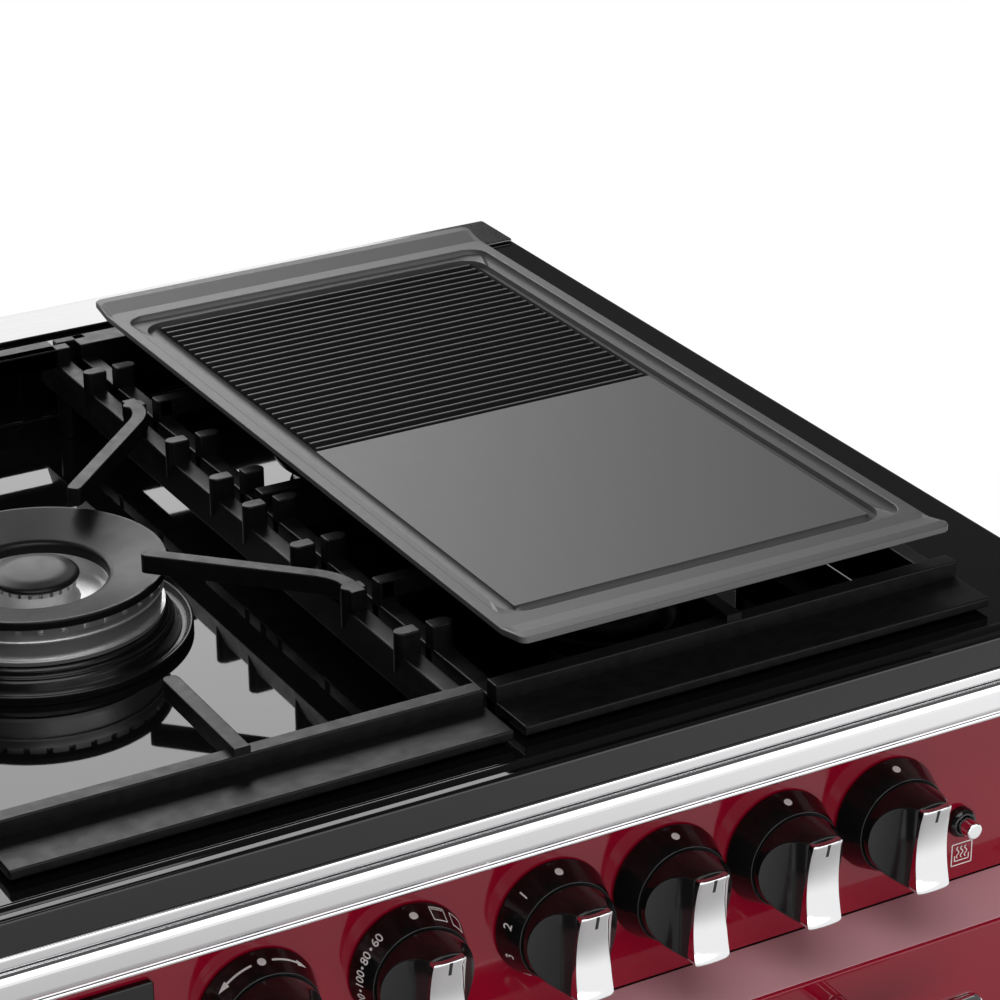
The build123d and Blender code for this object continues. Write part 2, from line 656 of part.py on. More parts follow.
def fan(centre):
    """An impeller and its shaft, which turns in the motor behind the oven's back wall."""
    fx, fz = centre
    plate = rod_y(fx, (FAN_Y - FAN_PLATE, FAN_Y), fz, FAN_RADIUS)
    hub = rod_y(fx, (FAN_Y - FAN_BLADE_DEPTH, FAN_Y), fz, FAN_HUB_RADIUS)
    shaft_end = LINER_BACK_Y + LINER_SHEET + MOTOR_BORE_DEPTH - SHAFT_END_CLEAR
    shaft = rod_y(fx, (FAN_Y - FAN_PLATE, shaft_end), fz, FAN_SHAFT_RADIUS)
    blades = []
    depth = FAN_BLADE_DEPTH
    for i in range(FAN_BLADE_COUNT):
        place = Pos(FAN_RADIUS - FAN_BLADE_LENGTH / 2, -depth / 2, 0)
        blade = place * Box(FAN_BLADE_LENGTH, depth, FAN_PLATE)
        blades.append(Pos(fx, FAN_Y, fz) * Rot(0, 360.0 * i / FAN_BLADE_COUNT, 0) * blade)
    return plate + [hub, shaft] + blades


def fan_motors():
    motors = []
    front = LINER_BACK_Y + LINER_SHEET
    for fx, fz in FAN_CENTRES:
        can = rod_y(fx, (front, front + MOTOR_LENGTH), fz, MOTOR_RADIUS)
        bore = rod_y(fx, (front, front + MOTOR_BORE_DEPTH), fz, FAN_SHAFT_RADIUS + RUNNING_CLEAR)
        motors.append(can - bore)
    return motors


def fan_covers():
    """A pressed cover over each fan, with rings of air holes."""
    covers = []
    half = FAN_COVER_SIZE / 2
    y = (LINER_BACK_Y - FAN_COVER_DEPTH, LINER_BACK_Y)
    for fx, fz in FAN_CENTRES:
        shell = block((fx - half, fx + half), y, (fz - half, fz + half))
        inside = half - SHEET
        shell -= block((fx - inside, fx + inside), (y[0] + SHEET, y[1]), (fz - inside, fz + inside))
        holes = []
        for ring in range(1, FAN_COVER_RINGS + 1):
            radius = ring * FAN_COVER_RING_STEP
            count = FAN_COVER_RING_HOLES * ring
            for i in range(count):
                angle = radians(360.0 * i / count)
                place = (fx + radius * cos(angle), fz + radius * sin(angle))
                holes.append(rod_y(place[0], (y[0], y[0] + SHEET), place[1], FAN_COVER_HOLE_RADIUS))
        covers.append(shell - holes)
    return covers


# Doors, drawer and their hinges


def door_skin(x, z):
    """The enamelled outer pan of a door or drawer front, open to the back."""
    y = (DOOR_FRONT_Y, DOOR_BACK_Y - DOOR_INNER_THICK)
    pan = block(x, y, z)
    pan = fillet(pan.faces().sort_by(Axis.Y)[0].edges(), DOOR_EDGE_RADIUS)
    wall = DOOR_SKIN
    hollow = block((x[0] + wall, x[1] - wall), (y[0] + wall, y[1]), (z[0] + wall, z[1] - wall))
    return pan - hollow


def door_inner(x, z):
    """The flat inner panel that closes a door."""
    return block(x, (DOOR_BACK_Y - DOOR_INNER_THICK, DOOR_BACK_Y), z)


def side_pin(x, z):
    """The two upright hinge holes of a side-hinged door."""
    reach = PIN_LENGTH + DOOR_SKIN
    return [post(x, SIDE_HINGE_Y, (z[0], z[0] + reach), PIN_HOLE_RADIUS),
            post(x, SIDE_HINGE_Y, (z[1] - reach, z[1]), PIN_HOLE_RADIUS)]


def handle(x_middle, z):
    """A bar on two posts, with rounded edges and ends."""
    front = DOOR_FRONT_Y - HANDLE_REACH
    half = HANDLE_LENGTH / 2
    depth = (front, front + HANDLE_BAR_DEPTH)
    height = (z - HANDLE_BAR_HEIGHT / 2, z + HANDLE_BAR_HEIGHT / 2)
    bar = block((x_middle - half, x_middle + half), depth, height)
    bar = fillet(bar.edges(), HANDLE_BAR_RADIUS)
    offset = half - HANDLE_POST_INSET
    run = (front + HANDLE_BAR_DEPTH / 2, DOOR_FRONT_Y)
    return bar + [rod_y(x_middle + s * offset, run, z, HANDLE_POST_RADIUS) for s in (-1, 1)]


def handle_height(top):
    """The middle of a handle below the top edge of its door."""
    return top - HANDLE_DROP - HANDLE_BAR_HEIGHT / 2


def side_hinge(s, z):
    """The two plates of a side-hinged door, above and below it, each with a pin into the door."""
    x = s * SIDE_HINGE_X
    half = HINGE_PLATE_WIDTH / 2
    depth = (SIDE_HINGE_Y - half / 2, FRAME_FRONT_Y)
    low = (z[0] - HINGE_GAP - HINGE_PLATE, z[0] - HINGE_GAP)
    high = (z[1] + HINGE_GAP, z[1] + HINGE_GAP + HINGE_PLATE)
    plates = [block((x - half, x + half), depth, low), block((x - half, x + half), depth, high)]
    pins = [post(x, SIDE_HINGE_Y, (low[0], z[0] + PIN_LENGTH), PIN_RADIUS),
            post(x, SIDE_HINGE_Y, (z[1] - PIN_LENGTH, high[1]), PIN_RADIUS)]
    return [plate + pin for plate, pin in zip(plates, pins)]


def drop_hinge():
    """The two upright plates beside the grill door, each with a pin into its edge."""
    half = HINGE_PLATE_WIDTH / 2
    depth = (DROP_HINGE_Y - half / 2, FRAME_FRONT_Y)
    height = (DROP_HINGE_Z - half / 2, DROP_HINGE_Z + half)
    outer = (-DOOR_OUTER_X - DROP_PLATE_GAP - DROP_PLATE, -DOOR_OUTER_X - DROP_PLATE_GAP)
    inner = (-DOOR_INNER_X + DROP_PLATE_GAP, -DOOR_INNER_X + DROP_PLATE_GAP + DROP_PLATE)
    left = block(outer, depth, height)
    left += rod_x((outer[0], -DOOR_OUTER_X + PIN_LENGTH), DROP_HINGE_Y, DROP_HINGE_Z, PIN_RADIUS)
    right = block(inner, depth, height)
    right += rod_x((-DOOR_INNER_X - PIN_LENGTH, inner[1]), DROP_HINGE_Y, DROP_HINGE_Z, PIN_RADIUS)
    return [left, right]


def door_hinges():
    main = side_hinge(-1, (MAIN_DOOR_Z, MAIN_DOOR_TOP_Z))
    tall = side_hinge(1, (DOOR_BOTTOM_Z, DOOR_TOP_Z))
    return main + tall + drop_hinge()


def doors():
    """Each door's skin, inner panel and handle, by node name."""
    left = (-DOOR_OUTER_X, -DOOR_INNER_X)
    right = (DOOR_INNER_X, DOOR_OUTER_X)
    main_z = (MAIN_DOOR_Z, MAIN_DOOR_TOP_Z)
    tall_z = (DOOR_BOTTOM_Z, DOOR_TOP_Z)
    grill_z = (GRILL_DOOR_Z, DOOR_TOP_Z)
    middle = (DOOR_INNER_X + DOOR_OUTER_X) / 2
    reach = PIN_LENGTH + DOOR_SKIN
    drop_holes = [
        rod_x((left[0], left[0] + reach), DROP_HINGE_Y, DROP_HINGE_Z, PIN_HOLE_RADIUS),
        rod_x((left[1] - reach, left[1]), DROP_HINGE_Y, DROP_HINGE_Z, PIN_HOLE_RADIUS),
    ]
    return {
        "main_door_skin": door_skin(left, main_z) - side_pin(-SIDE_HINGE_X, main_z),
        "main_door_inner": door_inner(left, main_z),
        "main_door_handle": handle(-middle, handle_height(main_z[1])),
        "tall_door_skin": door_skin(right, tall_z) - side_pin(SIDE_HINGE_X, tall_z),
        "tall_door_inner": door_inner(right, tall_z),
        "tall_door_handle": handle(middle, handle_height(tall_z[1])),
        "grill_door_skin": door_skin(left, grill_z) - drop_holes,
        "grill_door_inner": door_inner(left, grill_z),
        "grill_door_handle": handle(-middle, handle_height(grill_z[1])),
    }


def runner_top():
    """The height of the drawer runners' upper faces."""
    return DRAWER_OPENING_Z[0] + DRAWER_BOX_CLEAR - RUNNER_CLEAR


def drawer_box_x():
    return (LEFT_OPENING_X[0] + DRAWER_BOX_CLEAR, LEFT_OPENING_X[1] - DRAWER_BOX_CLEAR)


def drawer():
    """The drawer's front, box and handle, by node name."""
    left = (-DOOR_OUTER_X, -DOOR_INNER_X)
    z = (DOOR_BOTTOM_Z, DRAWER_TOP_Z)
    x = drawer_box_x()
    box_z = (DRAWER_OPENING_Z[0] + DRAWER_BOX_CLEAR, DRAWER_OPENING_Z[1] - DRAWER_BOX_CLEAR)
    y = (DOOR_BACK_Y, FRAME_BACK_Y + DRAWER_BOX_DEPTH)
    wall = DRAWER_BOX_SHEET
    box = block(x, y, box_z)
    box -= block((x[0] + wall, x[1] - wall), (y[0] + wall, y[1] - wall), (box_z[0] + wall, box_z[1]))
    front = door_skin(left, z) + door_inner(left, z)
    return {
        "drawer_front": front,
        "drawer_box": box,
        "drawer_handle": handle(-(DOOR_INNER_X + DOOR_OUTER_X) / 2, handle_height(z[1])),
    }


def drawer_runners():
    """Two rails on the base that carry the drawer box."""
    x = drawer_box_x()
    run = (FRAME_BACK_Y, FRAME_BACK_Y + DRAWER_BOX_DEPTH)
    rise = (BASE_TOP_Z, runner_top())
    return [block((x[0], x[0] + RUNNER_WIDTH), run, rise), block((x[1] - RUNNER_WIDTH, x[1]), run, rise)]


# Control panel


def rail_profile():
    """The trim rail's section: an upper bead, a groove, a wide round face, a lip and a foot behind."""
    y0 = HOB_FRONT_Y
    front = y0 - RAIL_PROUD
    neck = y0 - RAIL_PROUD / 4
    top = RAIL_TOP_Z
    bead_low = top - RAIL_BEAD_HEIGHT
    face_high = bead_low - RAIL_GROOVE
    lip_high = RAIL_BOTTOM_Z + RAIL_LIP_HEIGHT
    foot_top = RAIL_BOTTOM_Z + RAIL_LIP
    upper = RadiusArc((neck, top), (neck, bead_low), -RAIL_BEAD_ROUND)
    face = ThreePointArc((neck, face_high), (front, (face_high + lip_high) / 2), (neck, lip_high))
    inner_y = y0 + HOB_SHEET
    outline = [
        upper,
        Line((neck, bead_low), (neck, face_high)),
        face,
        Polyline(
            (neck, lip_high),
            (front, lip_high),
            (front, RAIL_BOTTOM_Z),
            (PANEL_BACK_Y, RAIL_BOTTOM_Z),
            (PANEL_BACK_Y, foot_top),
            (inner_y, foot_top),
            (inner_y, top),
            (neck, top),
        ),
    ]
    return make_face(outline)


def trim_rail():
    section = Plane.YZ * rail_profile()
    return Pos(-HALF_WIDTH, 0, 0) * extrude(section, WIDTH, dir=(1, 0, 0))


def control_panel():
    x = (-CARCASS_HALF, CARCASS_HALF)
    y = (PANEL_Y, FRAME_BACK_Y)
    z = (PANEL_BOTTOM_Z, PANEL_TOP_Z)
    pan = block(x, y, z)
    wall = PANEL_SHEET
    pan -= block((x[0] + wall, x[1] - wall), (y[0] + wall, y[1]), (z[0] + wall, z[1] - wall))
    through = (PANEL_Y, PANEL_BACK_Y)
    holes = [rod_y(kx, through, KNOB_Z, SPINDLE_RADIUS + SPINDLE_HOLE_CLEAR) for kx in KNOB_X]
    holes.append(rod_y(BUTTON_X, through, BUTTON_Z, SWITCH_NECK_RADIUS + SPINDLE_HOLE_CLEAR))
    half_w = CLOCK_WIDTH / 2 - CLOCK_BODY_INSET
    half_h = CLOCK_HEIGHT / 2 - CLOCK_BODY_INSET
    holes.append(block((CLOCK_X - half_w, CLOCK_X + half_w), through, (CLOCK_Z - half_h, CLOCK_Z + half_h)))
    return pan - holes


def clock_display():
    """A black glass face on a body that fills the panel's window."""
    half = (CLOCK_WIDTH / 2, CLOCK_HEIGHT / 2)
    face = block(
        (CLOCK_X - half[0], CLOCK_X + half[0]),
        (PANEL_Y - CLOCK_PROUD, PANEL_Y),
        (CLOCK_Z - half[1], CLOCK_Z + half[1]),
    )
    face = fillet(face.faces().sort_by(Axis.Y)[0].edges(), CLOCK_PROUD / 3)
    inner = (half[0] - CLOCK_BODY_INSET, half[1] - CLOCK_BODY_INSET)
    body = block(
        (CLOCK_X - inner[0], CLOCK_X + inner[0]),
        (PANEL_Y, PANEL_Y + CLOCK_BODY_DEPTH),
        (CLOCK_Z - inner[1], CLOCK_Z + inner[1]),
    )
    return face + body


def button_bezel():
    """The push button's round bezel and its switch body behind the panel."""
    ring = rod_y(BUTTON_X, (PANEL_Y - BEZEL_PROUD, PANEL_Y), BUTTON_Z, BEZEL_RADIUS)
    ring = fillet(ring.edges().sort_by(Axis.Y)[0], BEZEL_PROUD / 5)
    neck = rod_y(BUTTON_X, (PANEL_Y, PANEL_BACK_Y), BUTTON_Z, SWITCH_NECK_RADIUS + SPINDLE_HOLE_CLEAR)
    body = block(
        (BUTTON_X - SWITCH_HALF, BUTTON_X + SWITCH_HALF),
        (PANEL_BACK_Y, PANEL_BACK_Y + BUTTON_GUIDE),
        (BUTTON_Z - SWITCH_HALF, BUTTON_Z + SWITCH_HALF),
    )
    bore_end = PANEL_BACK_Y + BUTTON_GUIDE - SHEET
    bore = rod_y(BUTTON_X, (PANEL_Y - BEZEL_PROUD, bore_end), BUTTON_Z, BUTTON_RADIUS + RUNNING_CLEAR)
    return ring + [neck, body] - bore


def push_button():
    tip = PANEL_Y - BUTTON_PROUD
    end = PANEL_BACK_Y + BUTTON_GUIDE - SHEET - BUTTON_TRAVEL - BUTTON_END_CLEAR
    pin = rod_y(BUTTON_X, (tip, end), BUTTON_Z, BUTTON_RADIUS)
    return fillet(pin.edges().sort_by(Axis.Y)[0], BUTTON_RADIUS / 4)


def knob(x):
    """A knob's black body with its spindle, and the bright grip on its front, as two solids."""
    skirt = Pos(0, 0, KNOB_GAP + SKIRT_HEIGHT / 2) * Cone(SKIRT_RADIUS, SKIRT_FRONT_RADIUS, SKIRT_HEIGHT)
    body_start = KNOB_GAP + SKIRT_HEIGHT
    body = post(0, 0, (body_start, KNOB_REACH), KNOB_RADIUS)
    cheeks = []
    rim = GRIP_WIDTH / 2
    side = rim + sqrt(CHEEK_RADIUS ** 2 - CHEEK_LIFT ** 2)
    for s in (-1, 1):
        tool = Rot(90, 0, 0) * Cylinder(CHEEK_RADIUS, 4 * KNOB_RADIUS)
        cheeks.append(Pos(s * side, 0, KNOB_REACH + CHEEK_LIFT) * tool)
    spindle = post(0, 0, (-PANEL_SHEET - SPINDLE_DEPTH, body_start), SPINDLE_RADIUS)
    moulded = skirt + (body - cheeks) + spindle
    half = GRIP_LENGTH / 2
    grip = block((-rim, rim), (-half, half), (KNOB_REACH, KNOB_REACH + GRIP_HEIGHT))
    dish = Pos(0, 0, KNOB_REACH + GRIP_HEIGHT - GRIP_DISH_DEPTH + GRIP_HOLLOW_RADIUS) * Rot(0, 90, 0)
    grip -= dish * Cylinder(GRIP_HOLLOW_RADIUS, 2 * GRIP_WIDTH)
    place = Pos(x, PANEL_Y, KNOB_Z) * Rot(90, 0, 0)
    return [place * moulded, place * grip]


def control_valves():
    """A gas tap or an oven switch behind each knob, with the bore that its spindle turns in."""
    bodies = []
    half = VALVE_WIDTH / 2
    y = (PANEL_BACK_Y, PANEL_BACK_Y + VALVE_DEPTH)
    for x in KNOB_X:
        body = block((x - half, x + half), y, (KNOB_Z - VALVE_HEIGHT / 2, KNOB_Z + VALVE_HEIGHT / 2))
        bore_y = (y[0], y[0] + SPINDLE_DEPTH + SHAFT_END_CLEAR)
        bore = rod_y(x, bore_y, KNOB_Z, SPINDLE_RADIUS + RUNNING_CLEAR)
        bodies.append(body - bore)
    return bodies


def gas_rail():
    """A square tube from side to side, on which the taps sit."""
    top = KNOB_Z - VALVE_HEIGHT / 2
    y = PANEL_BACK_Y + VALVE_DEPTH - GAS_RAIL_SIZE
    x = (-INNER_HALF, INNER_HALF)
    wall = GAS_RAIL_WALL
    tube = block(x, (y, y + GAS_RAIL_SIZE), (top - GAS_RAIL_SIZE, top))
    inside = (y + wall, y + GAS_RAIL_SIZE - wall)
    return tube - block((x[0] + wall, x[1] - wall), inside, (top - GAS_RAIL_SIZE + wall, top - wall))


# Hob


def well_outline(grow, z):
    """The well's rounded plan shape, grown by an amount, between two heights."""
    width = 2 * (WELL_HALF_WIDTH + grow)
    depth = WELL_BACK - WELL_FRONT + 2 * grow
    middle = HOB_FRONT_Y + (WELL_FRONT + WELL_BACK) / 2
    sketch = RectangleRounded(width, depth, WELL_CORNER_RADIUS + grow)
    return Pos(0, middle, z[0]) * extrude(sketch, z[1] - z[0])


def burner_cup_radius(cap):
    return cap * BURNER_CUP_SHARE


def hob_top():
    """The pressed hob: a flat rim with turned-down edges and a deep well for the burners."""
    x = (-HALF_WIDTH, HALF_WIDTH)
    y = (HOB_FRONT_Y, HOB_BACK_Y)
    rim = block(x, y, (HOB_UNDER_Z, RIM_HEIGHT))
    rim = fillet(rim.edges().group_by(Axis.Z)[-1], HOB_SHEET / 2)
    lip_z = (RIM_HEIGHT - BACK_LIP, HOB_UNDER_Z)
    edge = CARCASS_INSET - SIDE_LIP_CLEAR
    rim += [
        block(x, (y[0], y[0] + HOB_SHEET), (RAIL_TOP_Z, HOB_UNDER_Z)),
        block(x, (y[1] - HOB_SHEET, y[1]), lip_z),
        block((x[0], x[0] + edge), y, (RAIL_TOP_Z, HOB_UNDER_Z)),
        block((x[1] - edge, x[1]), y, (RAIL_TOP_Z, HOB_UNDER_Z)),
    ]
    rim += well_outline(WELL_SHEET, (WELL_FLOOR_Z - WELL_SHEET, HOB_UNDER_Z))
    rim -= well_outline(0, (WELL_FLOOR_Z, RIM_HEIGHT))
    under = (WELL_FLOOR_Z - WELL_SHEET, WELL_FLOOR_Z)
    holes = [post(bx, by, under, burner_cup_radius(cap) + CUP_CLEAR) for bx, by, cap in PAIR_BURNERS]
    holes.append(post(0, SUPPORT_MIDDLE_Y, under, burner_cup_radius(WOK_PEDESTAL_RADIUS) + CUP_CLEAR))
    return rim - holes


def rear_trim():
    """The bright strip on the rim behind the pan supports."""
    y = (HOB_BACK_Y - REAR_TRIM_DEPTH, HOB_BACK_Y - HOB_SHEET / 2)
    edge = HOB_SHEET / 2
    strip = block((-HALF_WIDTH + edge, HALF_WIDTH - edge), y, (RIM_HEIGHT, RIM_HEIGHT + REAR_TRIM_HEIGHT))
    return fillet(strip.edges().group_by(Axis.Z)[-1], REAR_TRIM_HEIGHT / 3)


def ports(x, y, radius, top, count):
    """Small flame slots round the top edge of a burner head."""
    slots = []
    for i in range(count):
        slot = Pos(radius - PORT_DEPTH / 2 + SHEET / 2, 0, top - PORT_HEIGHT / 2)
        slot *= Box(PORT_DEPTH + SHEET, PORT_WIDTH, PORT_HEIGHT)
        slots.append(Pos(x, y, 0) * Rot(0, 0, 360.0 * i / count) * slot)
    return slots


def burner_bases():
    """Each burner's cup through the well's floor, with the flange that it hangs by."""
    floor = WELL_FLOOR_Z
    low = floor - WELL_SHEET - BURNER_CUP_DEPTH
    bases = []
    for x, y, cap in PAIR_BURNERS:
        flange = post(x, y, (floor, floor + BURNER_FLANGE_HEIGHT), cap + BURNER_FLANGE)
        flange = fillet(flange.edges().group_by(Axis.Z)[-1], BURNER_FLANGE_HEIGHT / 3)
        bases.append(flange + post(x, y, (low, floor), burner_cup_radius(cap)))
    y = SUPPORT_MIDDLE_Y
    dish = post(0, y, (floor, floor + WOK_DISH_HEIGHT), WOK_DISH_RADIUS)
    pedestal = post(0, y, (floor, WOK_HEAD_Z), WOK_PEDESTAL_RADIUS)
    bases.append(dish + [pedestal, post(0, y, (low, floor), burner_cup_radius(WOK_PEDESTAL_RADIUS))])
    return bases


def burner_heads():
    """The cast flame rings, with their slots."""
    heads = []
    for x, y, cap in PAIR_BURNERS:
        z = WELL_FLOOR_Z + BURNER_FLANGE_HEIGHT
        radius = cap - BURNER_HEAD_INSET
        head = post(x, y, (z, z + BURNER_HEAD_HEIGHT), radius)
        heads.append(head - ports(x, y, radius, z + BURNER_HEAD_HEIGHT, BURNER_PORT_COUNT))
    y = SUPPORT_MIDDLE_Y
    middle = Pos(0, y, WOK_HEAD_Z + WOK_HEAD_HEIGHT / 2)
    ring = middle * Cone(WOK_HEAD_RADIUS, WOK_HEAD_TOP_RADIUS, WOK_HEAD_HEIGHT)
    ring -= post(0, y, (WOK_DECK_Z, WOK_RING_Z), WOK_HOLE_RADIUS)
    ring -= ports(0, y, WOK_HEAD_TOP_RADIUS, WOK_RING_Z, WOK_PORT_COUNT)
    inner_top = WOK_DECK_Z + WOK_INNER_HEIGHT
    inner = post(0, y, (WOK_DECK_Z, inner_top), WOK_INNER_RADIUS)
    inner -= ports(0, y, WOK_INNER_RADIUS, inner_top, BURNER_PORT_COUNT)
    heads.append(ring + inner)
    return heads


def burner_caps():
    """The enamelled caps, and the wok burner's ring and small inner cap."""
    caps = []
    for x, y, cap in PAIR_BURNERS:
        z = WELL_FLOOR_Z + BURNER_FLANGE_HEIGHT + BURNER_HEAD_HEIGHT
        lid = post(x, y, (z, z + BURNER_CAP_HEIGHT), cap)
        caps.append(fillet(lid.edges().group_by(Axis.Z)[-1], BURNER_CAP_HEIGHT / 2))
    y = SUPPORT_MIDDLE_Y
    ring = post(0, y, (WOK_RING_Z, WOK_RING_Z + WOK_RING_THICK), WOK_RING_RADIUS)
    ring -= post(0, y, (WOK_RING_Z, WOK_RING_Z + WOK_RING_THICK), WOK_HOLE_RADIUS)
    caps.append(fillet(ring.edges().group_by(Axis.Z)[-1], WOK_RING_THICK / 4))
    z = WOK_DECK_Z + WOK_INNER_HEIGHT
    lid = post(0, y, (z, z + WOK_INNER_CAP_HEIGHT), WOK_INNER_CAP_RADIUS)
    caps.append(fillet(lid.edges().group_by(Axis.Z)[-1], WOK_INNER_CAP_HEIGHT / 2))
    return caps


def spark_electrodes():
    """One ceramic electrode beside each burner head, standing on the burner's flange."""
    foot = WELL_FLOOR_Z + BURNER_FLANGE_HEIGHT
    places = [(x, y, cap - BURNER_HEAD_INSET, foot, BURNER_HEAD_HEIGHT) for x, y, cap in PAIR_BURNERS]
    wok_height = WOK_PEDESTAL_HEIGHT + WOK_HEAD_HEIGHT - ELECTRODE_GAP
    wok_foot = WELL_FLOOR_Z + WOK_DISH_HEIGHT
    places.append((0, SUPPORT_MIDDLE_Y, WOK_RING_RADIUS + ELECTRODE_GAP, wok_foot, wok_height))
    pins = []
    for x, y, radius, z, height in places:
        reach = radius + ELECTRODE_GAP
        px = x + reach * cos(radians(ELECTRODE_ANGLE))
        py = y + reach * sin(radians(ELECTRODE_ANGLE))
        body = post(px, py, (z, z + height - ELECTRODE_TIP_HEIGHT), ELECTRODE_RADIUS)
        pins.append(body + post(px, py, (z, z + height), ELECTRODE_TIP_RADIUS))
    return pins


# Pan supports and griddle


def level(rise):
    """A height above the hob's rim."""
    return RIM_HEIGHT + rise


def side_bar(x_edge, s, y):
    """A low beam along one side, wider at its foot. s points from the beam to the middle."""
    top = SIDE_BAR_TOP
    points = [
        (x_edge, level(BAR_BOTTOM)),
        (x_edge + s * SIDE_BAR_WIDTH, level(BAR_BOTTOM)),
        (x_edge + s * SIDE_BAR_TOP_WIDTH, level(top)),
        (x_edge, level(top)),
    ]
    section = Plane.XZ * make_face(Polyline(*points, close=True))
    return Pos(0, y[0], 0) * extrude(section, y[1] - y[0], dir=(0, 1, 0))


def tooth(x_edge, s, y):
    """A small upright block on a side bar, round at its inner end."""
    z = (level(BAR_BOTTOM), level(PAN_PLANE))
    half = TOOTH_WIDTH / 2
    straight = TOOTH_LENGTH - half
    body = block(span(x_edge, x_edge + s * straight), (y - half, y + half), z)
    return body + post(x_edge + s * straight, y, z, half)


def support_frame(x):
    """The parts that every pan support has: a stepped front bar, side bars, teeth and legs."""
    front = HOB_FRONT_Y + SUPPORT_FRONT
    bar_y = front + LEDGE_DEPTH
    back = HOB_FRONT_Y + SUPPORT_BACK
    bar_z = (level(BAR_BOTTOM), level(BAR_TOP))
    pieces = [
        block(x, (front, bar_y), (level(LEDGE_TOP - LEDGE_THICK), level(LEDGE_TOP))),
        block(x, (bar_y, bar_y + FRONT_BAR_WIDTH), bar_z),
    ]
    run = (bar_y, back)
    teeth = [SUPPORT_MIDDLE_Y + s * offset for s in (-1, 1) for offset in TOOTH_OFFSETS]
    for edge, s in ((x[0], 1), (x[1], -1)):
        pieces.append(side_bar(edge, s, run))
        pieces += [tooth(edge, s, y) for y in teeth]
    leg_z = (WELL_FLOOR_Z, level(0))
    inset = SIDE_BAR_TOP_WIDTH - SUPPORT_LEG_RADIUS / 2
    for px in (x[0] + inset, x[1] - inset):
        for py in (bar_y + SUPPORT_LEG_INSET, back - SUPPORT_LEG_INSET):
            pieces.append(post(px, py, leg_z, SUPPORT_LEG_RADIUS))
    return pieces


def back_bar(x):
    """A plain back bar between two limits."""
    back = HOB_FRONT_Y + SUPPORT_BACK
    return block(x, (back - BACK_BAR_WIDTH, back), (level(BAR_BOTTOM), level(BAR_TOP)))


def lap(x):
    """The back half of a back bar between two limits, where neighbouring supports lap."""
    back = HOB_FRONT_Y + SUPPORT_BACK
    return block(x, (back - BACK_BAR_WIDTH / 2, back), (level(BAR_BOTTOM), level(BAR_TOP)))


def finger(points):
    """A flat finger through the given plan points, from its root to its tip."""
    z = (level(PAN_PLANE - FINGER_DEPTH), level(PAN_PLANE))
    parts = [beam(a, b, z, FINGER_WIDTH) for a, b in zip(points, points[1:])]
    root = points[0]
    foot = post(root[0], root[1], (level(BAR_BOTTOM), level(PAN_PLANE)), FINGER_WIDTH / 2)
    return parts + [foot]


def centre_pan_support():
    x = (-CENTRE_HALF, CENTRE_HALF)
    pieces = support_frame(x)
    tip = FINGER_TIP_RADIUS * cos(radians(45))
    bar = CENTRE_HALF - TOOTH_LENGTH / 2
    y = SUPPORT_MIDDLE_Y
    for sx in (-1, 1):
        for sy in (-1, 1):
            root = (sx * bar, y + sy * (bar + FINGER_TURN))
            pieces += finger([root, (sx * bar, y + sy * bar), (sx * tip, y + sy * tip)])
    front = HOB_FRONT_Y + SUPPORT_FRONT + LEDGE_DEPTH + FRONT_BAR_WIDTH / 2
    back = HOB_FRONT_Y + SUPPORT_BACK - BACK_BAR_WIDTH / 2
    pieces += finger([(0, front), (0, front + MIDDLE_FINGER_LENGTH)])
    pieces += finger([(0, back), (0, back - MIDDLE_FINGER_LENGTH)])
    laps = [lap(span(s * (CENTRE_HALF - LAP_WIDTH), s * CENTRE_HALF)) for s in (-1, 1)]
    return back_bar(x) + pieces - laps


def side_pan_support(s):
    x = span(s * SIDE_SUPPORT_INNER, s * SUPPORT_OUTER)
    pieces = support_frame(x)
    y = SUPPORT_MIDDLE_Y
    middle = s * PAIR_X
    half = FRONT_BAR_WIDTH / 2
    pieces.append(block(x, (y - half, y + half), (level(BAR_BOTTOM), level(BAR_TOP))))
    front = HOB_FRONT_Y + SUPPORT_FRONT + LEDGE_DEPTH + FRONT_BAR_WIDTH / 2
    back = HOB_FRONT_Y + SUPPORT_BACK - BACK_BAR_WIDTH / 2
    for burner_y, outer_y in ((y - BURNER_PAIR_OFFSET, front), (y + BURNER_PAIR_OFFSET, back)):
        for edge, inward in ((x[0], 1), (x[1], -1)):
            root = (edge + inward * TOOTH_LENGTH / 2, burner_y)
            pieces += finger([root, (middle - inward * PAIR_FINGER_TIP, burner_y)])
        side = 1 if outer_y > burner_y else -1
        pieces += finger([(middle, outer_y), (middle, burner_y + side * PAIR_FINGER_TIP)])
        pieces += finger([(middle, y), (middle, burner_y - side * PAIR_FINGER_TIP)])
    tab = lap(span(s * (CENTRE_HALF - LAP_WIDTH + SUPPORT_GAP / 2), s * SIDE_SUPPORT_INNER))
    tab -= Pos(0, -BACK_BAR_WIDTH / 2 + LAP_CLEAR, 0) * tab
    return back_bar(x) + pieces + [tab]


